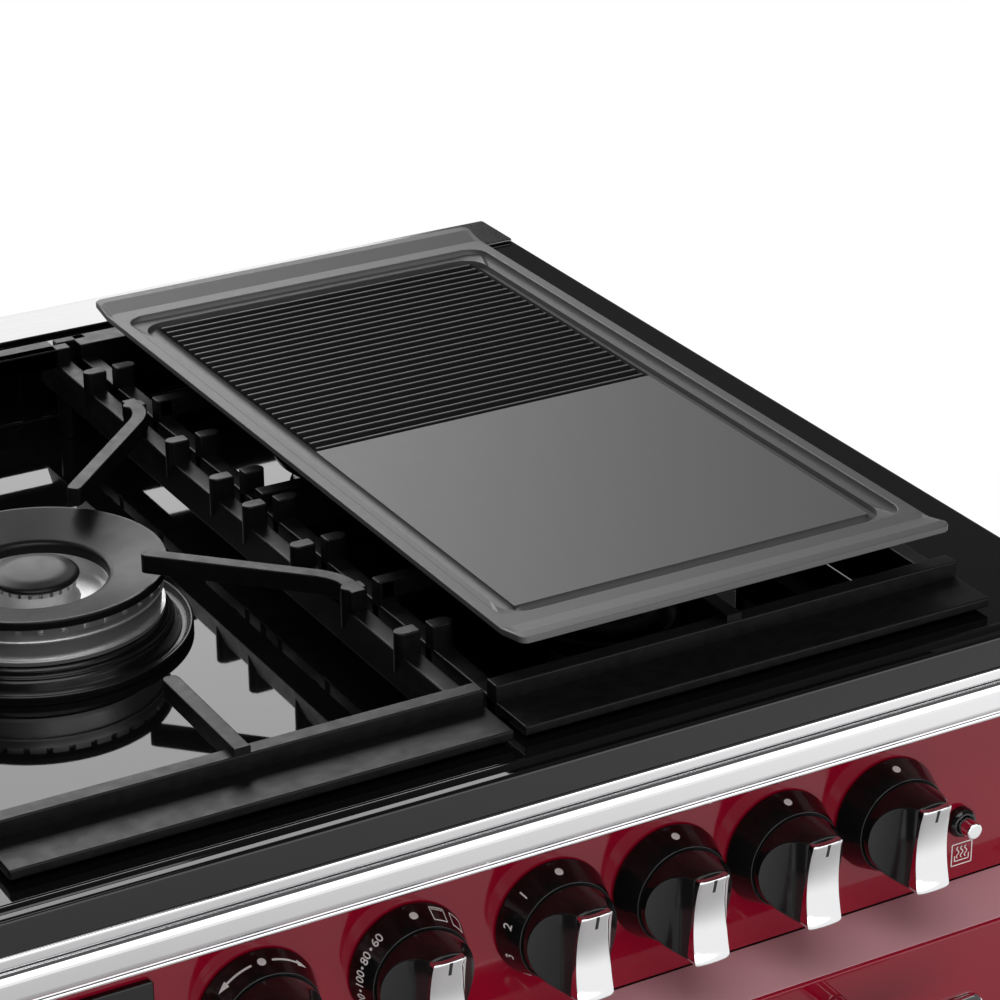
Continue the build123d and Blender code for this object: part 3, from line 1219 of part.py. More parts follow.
def griddle():
    """A cast plate with a thin rim, upturned ends, a drain channel and a half-ribbed cooking face."""
    middle_x = PAIR_X + GRIDDLE_SIDE_SHIFT
    middle_y = SUPPORT_MIDDLE_Y - GRIDDLE_FRONT_SHIFT
    x0 = middle_x - GRIDDLE_WIDTH / 2
    y0 = middle_y - GRIDDLE_LENGTH / 2
    y1 = middle_y + GRIDDLE_LENGTH / 2
    top = level(GRIDDLE_RIM_TOP)
    low = top - GRIDDLE_SHEET
    rise = GRIDDLE_FLANGE_RISE
    lengthwise = Polyline(
        (y0, low + rise),
        (y0 + GRIDDLE_FLANGE, low),
        (y1 - GRIDDLE_FLANGE, low),
        (y1, low + rise),
        (y1, top + rise),
        (y1 - GRIDDLE_FLANGE, top),
        (y0 + GRIDDLE_FLANGE, top),
        (y0, top + rise),
        close=True,
    )
    sheet = Pos(x0, 0, 0) * extrude(Plane.YZ * make_face(lengthwise), GRIDDLE_WIDTH, dir=(1, 0, 0))
    plan = RectangleRounded(GRIDDLE_WIDTH, GRIDDLE_LENGTH, GRIDDLE_CORNER_RADIUS)
    sheet &= Pos(middle_x, middle_y, low) * extrude(plan, GRIDDLE_SHEET + rise)
    flat = GRIDDLE_LENGTH - 2 * GRIDDLE_FLANGE
    inset = GRIDDLE_BELLY_INSET
    outline = RectangleRounded(GRIDDLE_WIDTH - 2 * inset, flat - inset, GRIDDLE_POCKET_CORNER)
    belly = Pos(middle_x, middle_y, level(PAN_PLANE)) * extrude(outline, low - level(PAN_PLANE))
    pocket_inset = 2 * GRIDDLE_POCKET_INSET + 2 * GRIDDLE_SHEET
    pocket_size = (GRIDDLE_WIDTH - pocket_inset, flat - pocket_inset)
    pocket = RectangleRounded(*pocket_size, GRIDDLE_POCKET_CORNER)
    floor = top - GRIDDLE_CHANNEL_DEPTH
    body = sheet + belly - Pos(middle_x, middle_y, floor) * extrude(pocket, GRIDDLE_CHANNEL_DEPTH)
    plate_half = pocket_size[0] / 2 - GRIDDLE_CHANNEL_WIDTH
    plate_reach = pocket_size[1] / 2 - GRIDDLE_CHANNEL_WIDTH
    plate_y = (middle_y - plate_reach, middle_y + plate_reach)
    plate_top = top - GRIDDLE_PLATE_DROP
    split = plate_y[0] + (plate_y[1] - plate_y[0]) * GRIDDLE_FLAT_SHARE
    x = (middle_x - plate_half, middle_x + plate_half)
    body += block(x, (plate_y[0], split), (floor, plate_top))
    body += block(x, (split, plate_y[1]), (floor, plate_top - RIB_HEIGHT))
    pitch = (plate_y[1] - split) / RIB_COUNT
    rib = Polyline(
        (-RIB_WIDTH / 2, -RIB_HEIGHT),
        (RIB_WIDTH / 2, -RIB_HEIGHT),
        (RIB_TOP_WIDTH / 2, 0),
        (-RIB_TOP_WIDTH / 2, 0),
        close=True,
    )
    ridge = extrude(Plane.YZ * make_face(rib), 2 * plate_half, dir=(1, 0, 0))
    return body + [Pos(x[0], split + (i + 0.5) * pitch, plate_top) * ridge for i in range(RIB_COUNT)]


# Rear connections


def gas_inlet():
    """A half-inch male gas thread through the back panel, with its hexagon against the panel."""
    y = BACK_PANEL_Y + SHEET
    nut = extrude(RegularPolygon(GAS_HEX_RADIUS, 6), -GAS_HEX_LENGTH)
    hexagon = Pos(GAS_INLET_X, y, GAS_INLET_Z) * Rot(90, 0, 0) * nut
    end = y + GAS_HEX_LENGTH + GAS_THREAD_LENGTH
    start = BACK_PANEL_Y - GAS_PIPE_INSIDE
    return hexagon + rod_y(GAS_INLET_X, (start, end), GAS_INLET_Z, GAS_THREAD_RADIUS)


def terminal_box():
    """The box for the mains connection."""
    y = (BACK_PANEL_Y + SHEET, BACK_PANEL_Y + SHEET + TERMINAL_DEPTH)
    half = (TERMINAL_WIDTH / 2, TERMINAL_HEIGHT / 2)
    height = (TERMINAL_Z - half[1], TERMINAL_Z + half[1])
    body = block((TERMINAL_X - half[0], TERMINAL_X + half[0]), y, height)
    return fillet(body.faces().sort_by(Axis.Y)[-1].edges(), TERMINAL_DEPTH / 8)


def main():
    os.makedirs("parts", exist_ok=True)
    nodes = {
        "side_panels": side_panels(),
        "back_panel": back_panel(),
        "base_frame": base_frame(),
        "levelling_feet": levelling_feet(),
        "plinth": plinth(),
        "front_frame": front_frame(),
        "door_seals": door_seals(),
        "door_hinges": door_hinges(),
        "main_oven_liner": main_oven_liner(),
        "tall_oven_liner": tall_oven_liner(),
        "grill_liner": grill_liner(),
        "oven_shelves": oven_shelves(),
        "grill_pan": grill_pan(),
        "heating_elements": heating_elements(),
        "main_oven_fan": fan(FAN_CENTRES[0]),
        "tall_oven_fan": fan(FAN_CENTRES[1]),
        "fan_motors": fan_motors(),
        "fan_covers": fan_covers(),
        "drawer_runners": drawer_runners(),
        "trim_rail": trim_rail(),
        "control_panel": control_panel(),
        "clock_display": clock_display(),
        "button_bezel": button_bezel(),
        "push_button": push_button(),
        "control_valves": control_valves(),
        "gas_rail": gas_rail(),
        "hob_top": hob_top(),
        "rear_trim": rear_trim(),
        "burner_bases": burner_bases(),
        "burner_heads": burner_heads(),
        "burner_caps": burner_caps(),
        "spark_electrodes": spark_electrodes(),
        "centre_pan_support": centre_pan_support(),
        "left_pan_support": side_pan_support(-1),
        "right_pan_support": side_pan_support(1),
        "griddle": griddle(),
        "gas_inlet": gas_inlet(),
        "terminal_box": terminal_box(),
    }
    nodes.update(doors())
    nodes.update(drawer())
    for i, x in enumerate(KNOB_X):
        nodes[f"knob_{i + 1}"] = knob(x)
    for name, solids in nodes.items():
        write(name, solids)


main()
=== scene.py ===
import logging
import math
from dataclasses import dataclass, field
from enum import Enum

import bmesh
import bpy
import numpy as np
from mathutils import Matrix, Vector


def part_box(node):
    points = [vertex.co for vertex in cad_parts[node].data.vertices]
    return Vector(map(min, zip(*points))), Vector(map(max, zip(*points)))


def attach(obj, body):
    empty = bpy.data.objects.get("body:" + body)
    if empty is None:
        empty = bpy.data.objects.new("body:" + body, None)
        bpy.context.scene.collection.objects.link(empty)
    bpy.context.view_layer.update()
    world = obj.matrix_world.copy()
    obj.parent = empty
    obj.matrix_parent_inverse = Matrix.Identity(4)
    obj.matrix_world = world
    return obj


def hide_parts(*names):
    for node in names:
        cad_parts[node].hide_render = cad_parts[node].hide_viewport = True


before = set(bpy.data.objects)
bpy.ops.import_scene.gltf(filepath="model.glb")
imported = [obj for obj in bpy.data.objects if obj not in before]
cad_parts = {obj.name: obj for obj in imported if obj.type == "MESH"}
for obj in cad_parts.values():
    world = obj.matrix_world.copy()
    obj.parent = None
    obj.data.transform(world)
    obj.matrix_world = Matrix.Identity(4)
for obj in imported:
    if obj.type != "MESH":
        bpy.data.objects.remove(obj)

# Looks of a range cooker around its fixed frame. Metres, +X right, +Y back, +Z up.

MM = 0.001
ROOT = "cooker"
LOG = logging.getLogger("range_cooker")
Array = np.ndarray
WHITE = (1, 1, 1, 1)
# The way in from a rectangle's low u, high u, low v and high v.
INWARD = np.array([1, -1, 1, -1])


class Axis(Enum):
    """The axis along which the rings of a loft follow each other."""

    X = (2, 0, 1)
    Y = (0, 2, 1)
    Z = (0, 1, 2)

    def stack(self, rings: Array, stations: Array) -> Array:
        """Puts flat rings at their stations along this axis.

        Args:
            rings: Ring points as (rows, columns, 2), in the two axes left over, in rising order.
            stations: One place along the axis for each row, or for each point.

        Returns:
            Points as (rows, columns, 3).
        """
        stations = np.asarray(stations, float)
        places = stations if stations.ndim == 2 else np.repeat(stations[:, None], rings.shape[1], 1)
        columns = (rings[..., 0], rings[..., 1], places)
        return np.stack([columns[i] for i in self.value], axis=-1)


class Grain(Enum):
    """The kinds of fine pattern that a finish can carry."""

    SMUDGE = "smudge_grain"
    CAST = "cast_grain"
    BRUSHED = "brushed_grain"
    SPECKLE = "speckle_grain"


def soften(points: Array, radius: float | Array, steps: int = 5) -> Array:
    """Rounds the corners of an open outline.

    Each inner corner P becomes the curve (1-t)^2 A + 2t(1-t) P + t^2 B, where A and B lie on its two
    runs, a radius away from P or half the run, whichever is less.

    Args:
        points: The outline's corners as (n, 2).
        radius: How far each curve starts from its corner, one value or one for each inner corner.
        steps: Points on each curve.

    Returns:
        The rounded outline as (m, 2).
    """
    points = np.asarray(points, float)
    before = points[:-2] - points[1:-1]
    after = points[2:] - points[1:-1]
    reach = np.broadcast_to(np.asarray(radius, float), len(before))[:, None]
    start_length = np.linalg.norm(before, axis=1, keepdims=True)
    end_length = np.linalg.norm(after, axis=1, keepdims=True)
    start = points[1:-1] + before / start_length * np.minimum(reach, start_length / 2)
    end = points[1:-1] + after / end_length * np.minimum(reach, end_length / 2)
    t = np.linspace(0, 1, steps)[None, :, None]
    curves = (1 - t) ** 2 * start[:, None] + 2 * t * (1 - t) * points[1:-1][:, None] + t ** 2 * end[:, None]
    return np.concatenate([points[:1], curves.reshape(-1, 2), points[-1:]])


def rounded_rects(boxes: Array, radii: Array, steps: int = 6) -> Array:
    """Rings round rectangles: each corner is a quarter circle about its own centre.

    Args:
        boxes: Low and high limits as (rows, 4): low u, high u, low v, high v.
        radii: The corner radius of each row, or of each corner, from the high u and v one on.
        steps: Segments on each corner.

    Returns:
        Rings as (rows, 4 * (steps + 1), 2).
    """
    boxes = np.asarray(boxes, float)
    radii = np.asarray(radii, float)
    radii = np.broadcast_to(radii if radii.ndim == 2 else np.atleast_1d(radii)[:, None], (len(boxes), 4))
    smallest = np.minimum(boxes[:, 1] - boxes[:, 0], boxes[:, 3] - boxes[:, 2]) / 2
    r = np.minimum(radii, smallest[:, None])[..., None]
    high_u = np.array([1, 0, 0, 1])
    high_v = np.array([1, 1, 0, 0])
    corner_u = np.where(high_u, boxes[:, 1:2], boxes[:, 0:1])[..., None] - r * (2 * high_u - 1)[:, None]
    corner_v = np.where(high_v, boxes[:, 3:4], boxes[:, 2:3])[..., None] - r * (2 * high_v - 1)[:, None]
    angle = np.radians(np.arange(4)[:, None] * 90 + np.linspace(0, 90, steps + 1)[None, :])[None]
    ring = np.stack([corner_u + r * np.cos(angle), corner_v + r * np.sin(angle)], axis=-1)
    return ring.reshape(len(boxes), -1, 2)


def circles(radii: Array, centre: tuple[float, float], steps: int) -> Array:
    """Rings of points about a centre: centre + radius (cos a, sin a).

    Args:
        radii: One radius for each row, or for each point.
        centre: The rings' centre.
        steps: Points on each ring.

    Returns:
        Rings as (rows, steps, 2).
    """
    angle = np.linspace(0, 2 * math.pi, steps, endpoint=False)
    radii = np.asarray(radii, float)
    spread = radii if radii.ndim == 2 else radii[:, None]
    return np.stack([centre[0] + spread * np.cos(angle), centre[1] + spread * np.sin(angle)], axis=-1)


class Shell:
    """Collects closed surfaces and joins them into one mesh."""

    def __init__(self) -> None:
        """Starts with no surface."""
        self.points: list[Array] = []
        self.faces: list[list[int]] = []
        self.count = 0

    def loft(self, rings: Array, ringed: bool = False) -> "Shell":
        """Joins rings row to row and round each ring, and closes both ends.

        Args:
            rings: Points as (rows, columns, 3).
            ringed: Whether the last row joins the first, with no ends to close.

        Returns:
            This shell.
        """
        rows, columns = rings.shape[:2]
        row = np.arange(rows if ringed else rows - 1)[:, None]
        here = np.arange(columns)[None, :]
        below, above = row * columns, (row + 1) % rows * columns
        after = (here + 1) % columns
        quads = np.stack([below + here, below + after, above + after, above + here], axis=-1)
        self.faces += (quads.reshape(-1, 4) + self.count).tolist()
        if not ringed:
            first = np.arange(columns) + self.count
            self.faces += [first[::-1].tolist(), (first + (rows - 1) * columns).tolist()]
        self.points.append(rings.reshape(-1, 3))
        self.count += rows * columns
        return self

    def mesh(self, name: str, sharp: float = 35.0) -> bpy.types.Mesh:
        """Makes the mesh, with its faces turned outwards and shaded smooth.

        Args:
            name: The mesh's name.
            sharp: Edges steeper than this many degrees stay sharp.

        Returns:
            The new mesh.
        """
        made = bpy.data.meshes.new(name)
        made.from_pydata(np.concatenate(self.points), [], self.faces)
        work = bmesh.new()
        work.from_mesh(made)
        bmesh.ops.recalc_face_normals(work, faces=work.faces)
        work.to_mesh(made)
        work.free()
        made.shade_smooth()
        made.set_sharp_from_angle(angle=math.radians(sharp))
        return made


def lathe(profile: Array, centre: tuple[float, float], axis: Axis, steps: int = 72) -> Array:
    """A profile of (radius, place) points carried round an axis.

    Args:
        profile: The outline as (n, 2).
        centre: The axis's place in the two other axes.
        axis: The axis that the profile turns round.
        steps: Points on each ring.

    Returns:
        Rings as (n, steps, 3).
    """
    return axis.stack(circles(profile[:, 0], centre, steps), profile[:, 1])


def slotted_lathe(profile: Array, centre: tuple[float, float], slots: int, cut: tuple[float, float, float],
                  across: int = 10) -> Array:
    """A turned shape about Z whose radius drops by a depth in evenly spaced slots between two heights.

    Args:
        profile: The outline of (radius, height) points.
        centre: The axis's X and Y.
        slots: How many slots go round.
        cut: The slots' depth, lowest height and highest height.
        across: Points for each slot's share of the turn, two of which lie in the slot.

    Returns:
        Rings as (n, slots * across, 3).
    """
    depth, low, high = cut
    in_height = (profile[:, 1] >= low) & (profile[:, 1] <= high)
    in_slot = np.arange(slots * across) % across < 2
    radii = profile[:, :1] - depth * in_height[:, None] * in_slot[None, :]
    return Axis.Z.stack(circles(radii, centre, slots * across), profile[:, 1])


def slab(box: tuple[float, ...], places: tuple[float, float], corner: float, edge: float,
         axis: Axis) -> Array:
    """A plate with rounded corners, whose two edges are quarter rounds of a radius.

    Args:
        box: Low and high limits of the plate's outline.
        places: Where it starts and ends along the axis.
        corner: The outline's corner radius.
        edge: The edges' radius.
        axis: The axis across the plate.

    Returns:
        Rings of points.
    """
    turn = np.radians(np.linspace(0, 90, 5))
    inset = np.concatenate([edge * (1 - np.sin(turn)), edge * (1 - np.cos(turn))])
    step = math.copysign(edge, places[1] - places[0])
    heights = np.concatenate([places[0] + step * (1 - np.cos(turn)), places[1] - step * (1 - np.sin(turn))])
    boxes = np.array(box) + inset[:, None] * INWARD
    return axis.stack(rounded_rects(boxes, np.maximum(corner - inset, edge / 4)), heights)


def extrusion(section: Array, run: tuple[float, float], axis: Axis) -> Array:
    """A flat section carried straight along an axis.

    Args:
        section: The section's points as (n, 2).
        run: Where it starts and ends.
        axis: The axis that it follows.

    Returns:
        Rings as (2, n, 3).
    """
    return axis.stack(np.broadcast_to(section, (2, *section.shape)), np.array(run))


def front_centre(node: str) -> tuple[float, float]:
    """The X and Z of the middle of a node's box."""
    low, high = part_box(node)
    return (low.x + high.x) / 2, (low.z + high.z) / 2


def ribbon(path: Array, width: float, height: float) -> Array:
    """A flat band along a path: two points each side of it, half a width away along the local normal.

    Args:
        path: The middle line as (n, 2).
        width: The band's width.
        height: How far the band rises from the surface, on which its other half lies sunk.

    Returns:
        Rings as (n, 4, 3), of (along, up, rise) points.
    """
    path = np.asarray(path, float)
    run = np.gradient(path, axis=0)
    run /= np.linalg.norm(run, axis=1, keepdims=True)
    side = np.stack([-run[:, 1], run[:, 0]], axis=1) * width / 2
    edges = np.stack([path - side, path + side, path + side, path - side], axis=1)
    rise = np.broadcast_to(np.array([-height, -height, height, height]), edges.shape[:2])
    return np.concatenate([edges, rise[..., None]], axis=-1)


def disc(radius: float, height: float, steps: int = 28) -> Array:
    """A small round plate about the origin, of (along, up, rise) points.

    Args:
        radius: Its radius.
        height: How far it rises, and how deep it is sunk.
        steps: Points round it.

    Returns:
        Rings as (2, steps, 3).
    """
    return Axis.Z.stack(circles(np.array([radius, radius]), (0, 0), steps), np.array([-height, height]))


def feed(tree: bpy.types.NodeTree, node: bpy.types.Node, values: dict[str | int, object]) -> None:
    """Fills a node's inputs.

    Args:
        tree: The node's tree.
        node: The node.
        values: For each input, a socket to link from or a plain value.
    """
    for key, value in values.items():
        if isinstance(value, bpy.types.NodeSocket):
            tree.links.new(value, node.inputs[key])
        else:
            node.inputs[key].default_value = value


def add_node(tree: bpy.types.NodeTree, kind: str, values: dict[str | int, object],
             **settings: object) -> bpy.types.Node:
    """Adds a node, sets its properties and fills its inputs.

    Args:
        tree: The tree that gets it.
        kind: The node's kind.
        values: For each input, a socket to link from or a plain value.
        settings: The node's properties.

    Returns:
        The new node.
    """
    node = tree.nodes.new(kind)
    for name, value in settings.items():
        setattr(node, name, value)
    feed(tree, node, values)
    return node


def node_group(kind: Grain) -> bpy.types.NodeTree:
    """The shared pattern group of a kind: a mask from 0 to 1 and a height, both of which vary.

    Args:
        kind: Which pattern.

    Returns:
        The group, built on its first use.
    """
    known = bpy.data.node_groups.get(kind.value)
    if known:
        return known
    tree = bpy.data.node_groups.new(kind.value, "ShaderNodeTree")
    for name, way, value in (("Vector", "INPUT", "Vector"), ("Frequency", "INPUT", "Float"),
                             ("Mask", "OUTPUT", "Float"), ("Height", "OUTPUT", "Float")):
        tree.interface.new_socket(name, in_out=way, socket_type=f"NodeSocket{value}")
    inlet = tree.nodes.new("NodeGroupInput").outputs
    scaled = add_node(tree, "ShaderNodeVectorMath", {0: inlet["Vector"], "Scale": inlet["Frequency"]},
                      operation="SCALE")
    source = scaled.outputs["Vector"]
    if kind is Grain.BRUSHED:
        drawn = add_node(tree, "ShaderNodeMapping", {"Vector": source, "Scale": (0.012, 1.0, 1.0)})
        source = drawn.outputs["Vector"]
    fine = add_node(tree, "ShaderNodeTexNoise",
                    {"Vector": source, "Scale": 1.0, "Detail": 4.0, "Roughness": 0.6})
    if kind is Grain.SPECKLE:
        cells = add_node(tree, "ShaderNodeTexVoronoi", {"Vector": source, "Scale": 1.0})
        spread = {"Value": cells.outputs["Distance"], "From Min": 0.12, "From Max": 0.2,
                  "To Min": 1.0, "To Max": 0.0}
    else:
        broad = add_node(tree, "ShaderNodeTexNoise", {"Vector": source, "Scale": 0.22, "Detail": 3.0})
        spread = {"Value": broad.outputs["Fac"], "From Min": 0.3, "From Max": 0.7}
    mask = add_node(tree, "ShaderNodeMapRange", spread)
    add_node(tree, "NodeGroupOutput", {"Mask": mask.outputs["Result"], "Height": fine.outputs["Fac"]})
    return tree


@dataclass(frozen=True)
class Finish:
    """One surface finish: its two mixed colours, its gloss and its fine pattern."""

    name: str
    slot: str | None
    color: tuple[float, float, float]
    other: tuple[float, float, float]
    roughness: tuple[float, float]
    grain: Grain = Grain.SMUDGE
    frequency: float = 60.0
    bump: float = 0.0
    metallic: float = 0.0
    ior: float = 1.5

    def material(self) -> bpy.types.Material:
        """The finish's material, built on its first use.

        Returns:
            A material whose colour, roughness and normal follow the finish's pattern group.
        """
        known = bpy.data.materials.get(self.name)
        if known:
            return known
        made = bpy.data.materials.new(self.name)
        made.use_nodes = True
        tree = made.node_tree
        place = tree.nodes.new("ShaderNodeTexCoord")
        pattern = add_node(tree, "ShaderNodeGroup",
                           {"Vector": place.outputs["Object"], "Frequency": self.frequency},
                           node_tree=node_group(self.grain))
        mask = pattern.outputs["Mask"]
        blend = add_node(tree, "ShaderNodeMix", {0: mask, 6: (*self.color, 1), 7: (*self.other, 1)},
                         data_type="RGBA")
        gloss = add_node(tree, "ShaderNodeMapRange",
                         {"Value": mask, "To Min": self.roughness[0], "To Max": self.roughness[1]})
        look = {"Metallic": self.metallic, "IOR": self.ior, "Base Color": blend.outputs[2],
                "Roughness": gloss.outputs["Result"]}
        if self.bump > 0:
            relief = add_node(tree, "ShaderNodeBump",
                              {"Distance": self.bump, "Height": pattern.outputs["Height"]})
            look["Normal"] = relief.outputs["Normal"]
        feed(tree, tree.nodes["Principled BSDF"], look)
        return made


def grey(value: float) -> tuple[float, float, float]:
    """A neutral colour."""
    return value, value, value


RED_ENAMEL = Finish("gloss_red_enamel", "red_enamel", (0.29, 0.003, 0.020), (0.275, 0.003, 0.019),
                    (0.05, 0.08), frequency=18, ior=1.45)
# Painted highlight: the door tops' red enamel is lightened to pale pink to stand for the bright surround
# reflected in their up-facing ledge.
LEDGE_PAINTED_HIGHLIGHT = Finish("red_ledge_painted_highlight", "red_enamel", (0.60, 0.30, 0.335), (0.58, 0.29, 0.325), (0.40, 0.46),
                      frequency=18)
GLOSS_ENAMEL = Finish("gloss_black_enamel", "gloss_enamel", grey(0.003), grey(0.005),
                      (0.02, 0.05), frequency=14)
BLACK_ENAMEL = Finish("satin_black_enamel", "black_enamel", grey(0.004), grey(0.006),
                      (0.24, 0.32), frequency=40, bump=0.02 * MM)
OVEN_ENAMEL = Finish("speckled_oven_enamel", "oven_enamel", (0.022, 0.023, 0.026), (0.16, 0.16, 0.17),
                     (0.16, 0.24), Grain.SPECKLE, 300)
CAST_IRON = Finish("enamelled_cast_iron", "cast_iron", grey(0.003), grey(0.005),
                   (0.34, 0.44), Grain.CAST, 700, 0.05 * MM, ior=1.34)
GRIDDLE_COAT = Finish("griddle_plate_coating", "griddle_coating", grey(0.070), grey(0.078),
                      (0.48, 0.53), Grain.CAST, 1400, 0.01 * MM, ior=1.85)
# Painted shade: the ribs get a darker, rougher copy of the griddle coating to stand for the shade where the
# ribs shade each other; the crests keep the plate's coating.
RIB_PAINTED_SHADE = Finish("griddle_rib_painted_shade", "griddle_coating", grey(0.010), grey(0.013),
                  (0.70, 0.80), Grain.CAST, 900, 0.02 * MM, ior=1.22)
CAP_ENAMEL = Finish("burner_cap_enamel", "black_enamel", grey(0.005), grey(0.007),
                    (0.30, 0.38), Grain.CAST, 500, 0.02 * MM, ior=1.33)
CHROME = Finish("polished_chrome", "chrome", (0.86, 0.86, 0.87), (0.82, 0.82, 0.83), (0.03, 0.07),
                frequency=30, metallic=1.0)
STAINLESS = Finish("brushed_stainless", "stainless", grey(0.18), grey(0.17),
                   (0.12, 0.16), Grain.BRUSHED, 2500, 0.002 * MM, 1.0)
ZINC_STEEL = Finish("zinc_coated_steel", "zinc_steel", (0.52, 0.53, 0.54), (0.44, 0.45, 0.47), (0.34, 0.5),
                    Grain.CAST, 90, 0.01 * MM, 1.0)
ELEMENT_STEEL = Finish("stained_element_steel", "element_steel", (0.10, 0.095, 0.09), (0.16, 0.14, 0.12),
                       (0.4, 0.55), Grain.CAST, 200, 0.02 * MM, 1.0)
ALUMINIUM = Finish("cast_aluminium", "burner_aluminium", grey(0.78), grey(0.68), (0.32, 0.42),
                   Grain.CAST, 260, 0.01 * MM, 0.9)
BRASS = Finish("machined_brass", "brass", (0.65, 0.47, 0.20), (0.56, 0.40, 0.16), (0.22, 0.34),
               Grain.CAST, 160, 0.01 * MM, 1.0)
KNOB_BLACK = Finish("knob_moulding", "gloss_black", grey(0.005), grey(0.008), (0.10, 0.16),
                    frequency=50)
DISPLAY_GLASS = Finish("display_glass", "display_black", grey(0.003), (0.004, 0.004, 0.005),
                       (0.03, 0.06), frequency=40)
GREY_PLASTIC = Finish("grey_moulding", "grey_plastic", (0.25, 0.25, 0.26), (0.30, 0.30, 0.31), (0.42, 0.5),
                      Grain.CAST, 900, 0.03 * MM)
CERAMIC = Finish("white_ceramic", "ceramic", (0.34, 0.33, 0.31), (0.28, 0.27, 0.26), (0.3, 0.4), frequency=80)
SEAL_RUBBER = Finish("door_seal_rubber", "rubber_seal", grey(0.02), grey(0.03), (0.6, 0.75),
                     Grain.CAST, 800, 0.05 * MM)
WHITE_PRINT = Finish("white_print", None, (0.95, 0.95, 0.94), (0.92, 0.92, 0.91), (0.4, 0.5), frequency=300)


def add_piece(name: str, made: bpy.types.Mesh, body: str, finish: Finish, *nodes: str) -> bpy.types.Object:
    """Adds a mesh as a piece that rides on a body and stands for some nodes.

    Args:
        name: The piece's name.
        made: Its mesh, in the part frame.
        body: The body that it moves with.
        finish: Its finish.
        nodes: The nodes that it stands for.

    Returns:
        The new object.
    """
    piece = bpy.data.objects.new(name, made)
    bpy.context.scene.collection.objects.link(piece)
    made.materials.append(finish.material())
    evened = piece.modifiers.new("flat_faces_stay_flat", "WEIGHTED_NORMAL")
    evened.keep_sharp = True
    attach(piece, body)
    if nodes:
        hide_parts(*nodes)
    LOG.info("%s rides on %s, %d faces", name, body, len(made.polygons))
    return piece


def dress_node(node: str, finish: Finish) -> None:
    """Gives a frame node a finish.

    Args:
        node: The node's name.
        finish: Its finish.
    """
    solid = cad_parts[node].data
    solid.materials.clear()
    solid.materials.append(finish.material())
    LOG.info("%s keeps its solid, as %s", node, finish.name)


@dataclass
class HobTop:
    """The pressed black hob with its beaded front, deep well and bright strip at the back."""

    lip_sheet: float = 2.4 * MM
    under: float = 4.0 * MM
    well_sheet: float = 2.5 * MM
    well_side: float = 52.0 * MM
    well_front: float = 46.0 * MM
    well_back: float = 76.0 * MM
    well_depth: float = 34.0 * MM
    well_corner: float = 14.0 * MM
    outer_corner: float = 7.0 * MM
    bead_inset: float = 9.5 * MM
    bead_width: float = 5.0 * MM
    bead_height: float = 0.9 * MM
    flat_start: float = 20.0 * MM
    well_start: float = 60.0 * MM
    well_draft: float = 1.5 * MM
    floor_under: float = 20.0 * MM
    floor_run: float = 24.0 * MM
    floor_inset: float = 30.0 * MM
    flat_corner: float = 4.0 * MM
    floor_corner: float = 6.0 * MM
    small_bend: float = 0.35 * MM
    rim_bend: float = 2.2 * MM
    brim_bend: float = 3.5 * MM
    floor_bend: float = 4.0 * MM
    bead_from: float = 2.5 * MM
    front_band: float = 0.6 * MM
    strip_corner: float = 2.0 * MM
    strip_edge: float = 0.8 * MM

    def build(self) -> bpy.types.Mesh:
        """A profile of (inset, height) points carried round a rectangle.

        The rectangle is the hob's outline up to flat_start, the well's from well_start on, and mixes
        the two between them. The bead and its groove are level with the top everywhere but in front.

        Returns:
            The hob's mesh.
        """
        low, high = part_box("hob_top")
        top = high.z
        floor = top - self.well_depth
        under_floor = floor - self.well_sheet
        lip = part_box("trim_rail")[1].z
        well = self.well_start
        bead = np.array([(-0.5, 0), (-0.25, 0.8), (0, 1), (0.25, 0.8), (0.5, 0)])
        bead = bead * (self.bead_width, self.bead_height) + (self.bead_inset, top)
        groove = np.array([(-0.9, 0), (-0.7, -0.9)]) * (self.bead_width, self.bead_height)
        groove += (self.bead_inset, top)
        corners = np.concatenate([
            [(well + self.floor_under, under_floor), (well - self.well_sheet, under_floor),
             (well - self.well_sheet, top - self.under), (self.lip_sheet, top - self.under),
             (self.lip_sheet, lip), (0, lip), (0, top)],
            groove, bead,
            [(well, top), (well + self.well_draft, floor), (well + self.floor_run, floor)],
        ])
        radii = np.full(len(corners) - 2, self.small_bend)
        radii[[5, -2, -1]] = (self.rim_bend, self.brim_bend, self.floor_bend)
        profile = soften(corners, radii, 7)
        keys = np.array([0, self.flat_start, well, well + self.floor_inset])
        outer = np.array([low.x, high.x, low.y, high.y])
        inner = outer + np.array([self.well_side, -self.well_side, self.well_front, -self.well_back])
        limits = np.stack([outer, outer + INWARD * self.flat_start, inner, inner + INWARD * self.floor_inset])
        boxes = np.stack([np.interp(profile[:, 0], keys, limits[:, i]) for i in range(4)], axis=1)
        corner_keys = [self.outer_corner, self.flat_corner, self.well_corner, self.floor_corner]
        radii = np.interp(profile[:, 0], keys, corner_keys)
        rings = Axis.Z.stack(rounded_rects(boxes, radii, 8), profile[:, 1])
        beaded = (profile[:, 0] < self.flat_start) & (np.abs(profile[:, 1] - top) < 2 * self.bead_height)
        beaded &= profile[:, 0] > self.bead_from
        in_front = np.isclose(rings[..., 1], rings[..., 1].min(axis=1, keepdims=True), atol=self.front_band)
        rings[..., 2] = np.where(beaded[:, None] & ~in_front, top, rings[..., 2])
        return Shell().loft(rings).mesh("hob_top_pressing", 50)

    def dress(self) -> None:
        """Adds the hob and the bright strip behind the pan supports."""
        add_piece("hob_top_pressing", self.build(), ROOT, GLOSS_ENAMEL, "hob_top")
        low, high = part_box("rear_trim")
        box = (low.x, high.x, low.y, high.y)
        strip = slab(box, (low.z, high.z), self.strip_corner, self.strip_edge, Axis.Z)
        made = Shell().loft(strip).mesh("rear_trim_strip")
        add_piece("rear_trim_strip", made, ROOT, STAINLESS, "rear_trim")


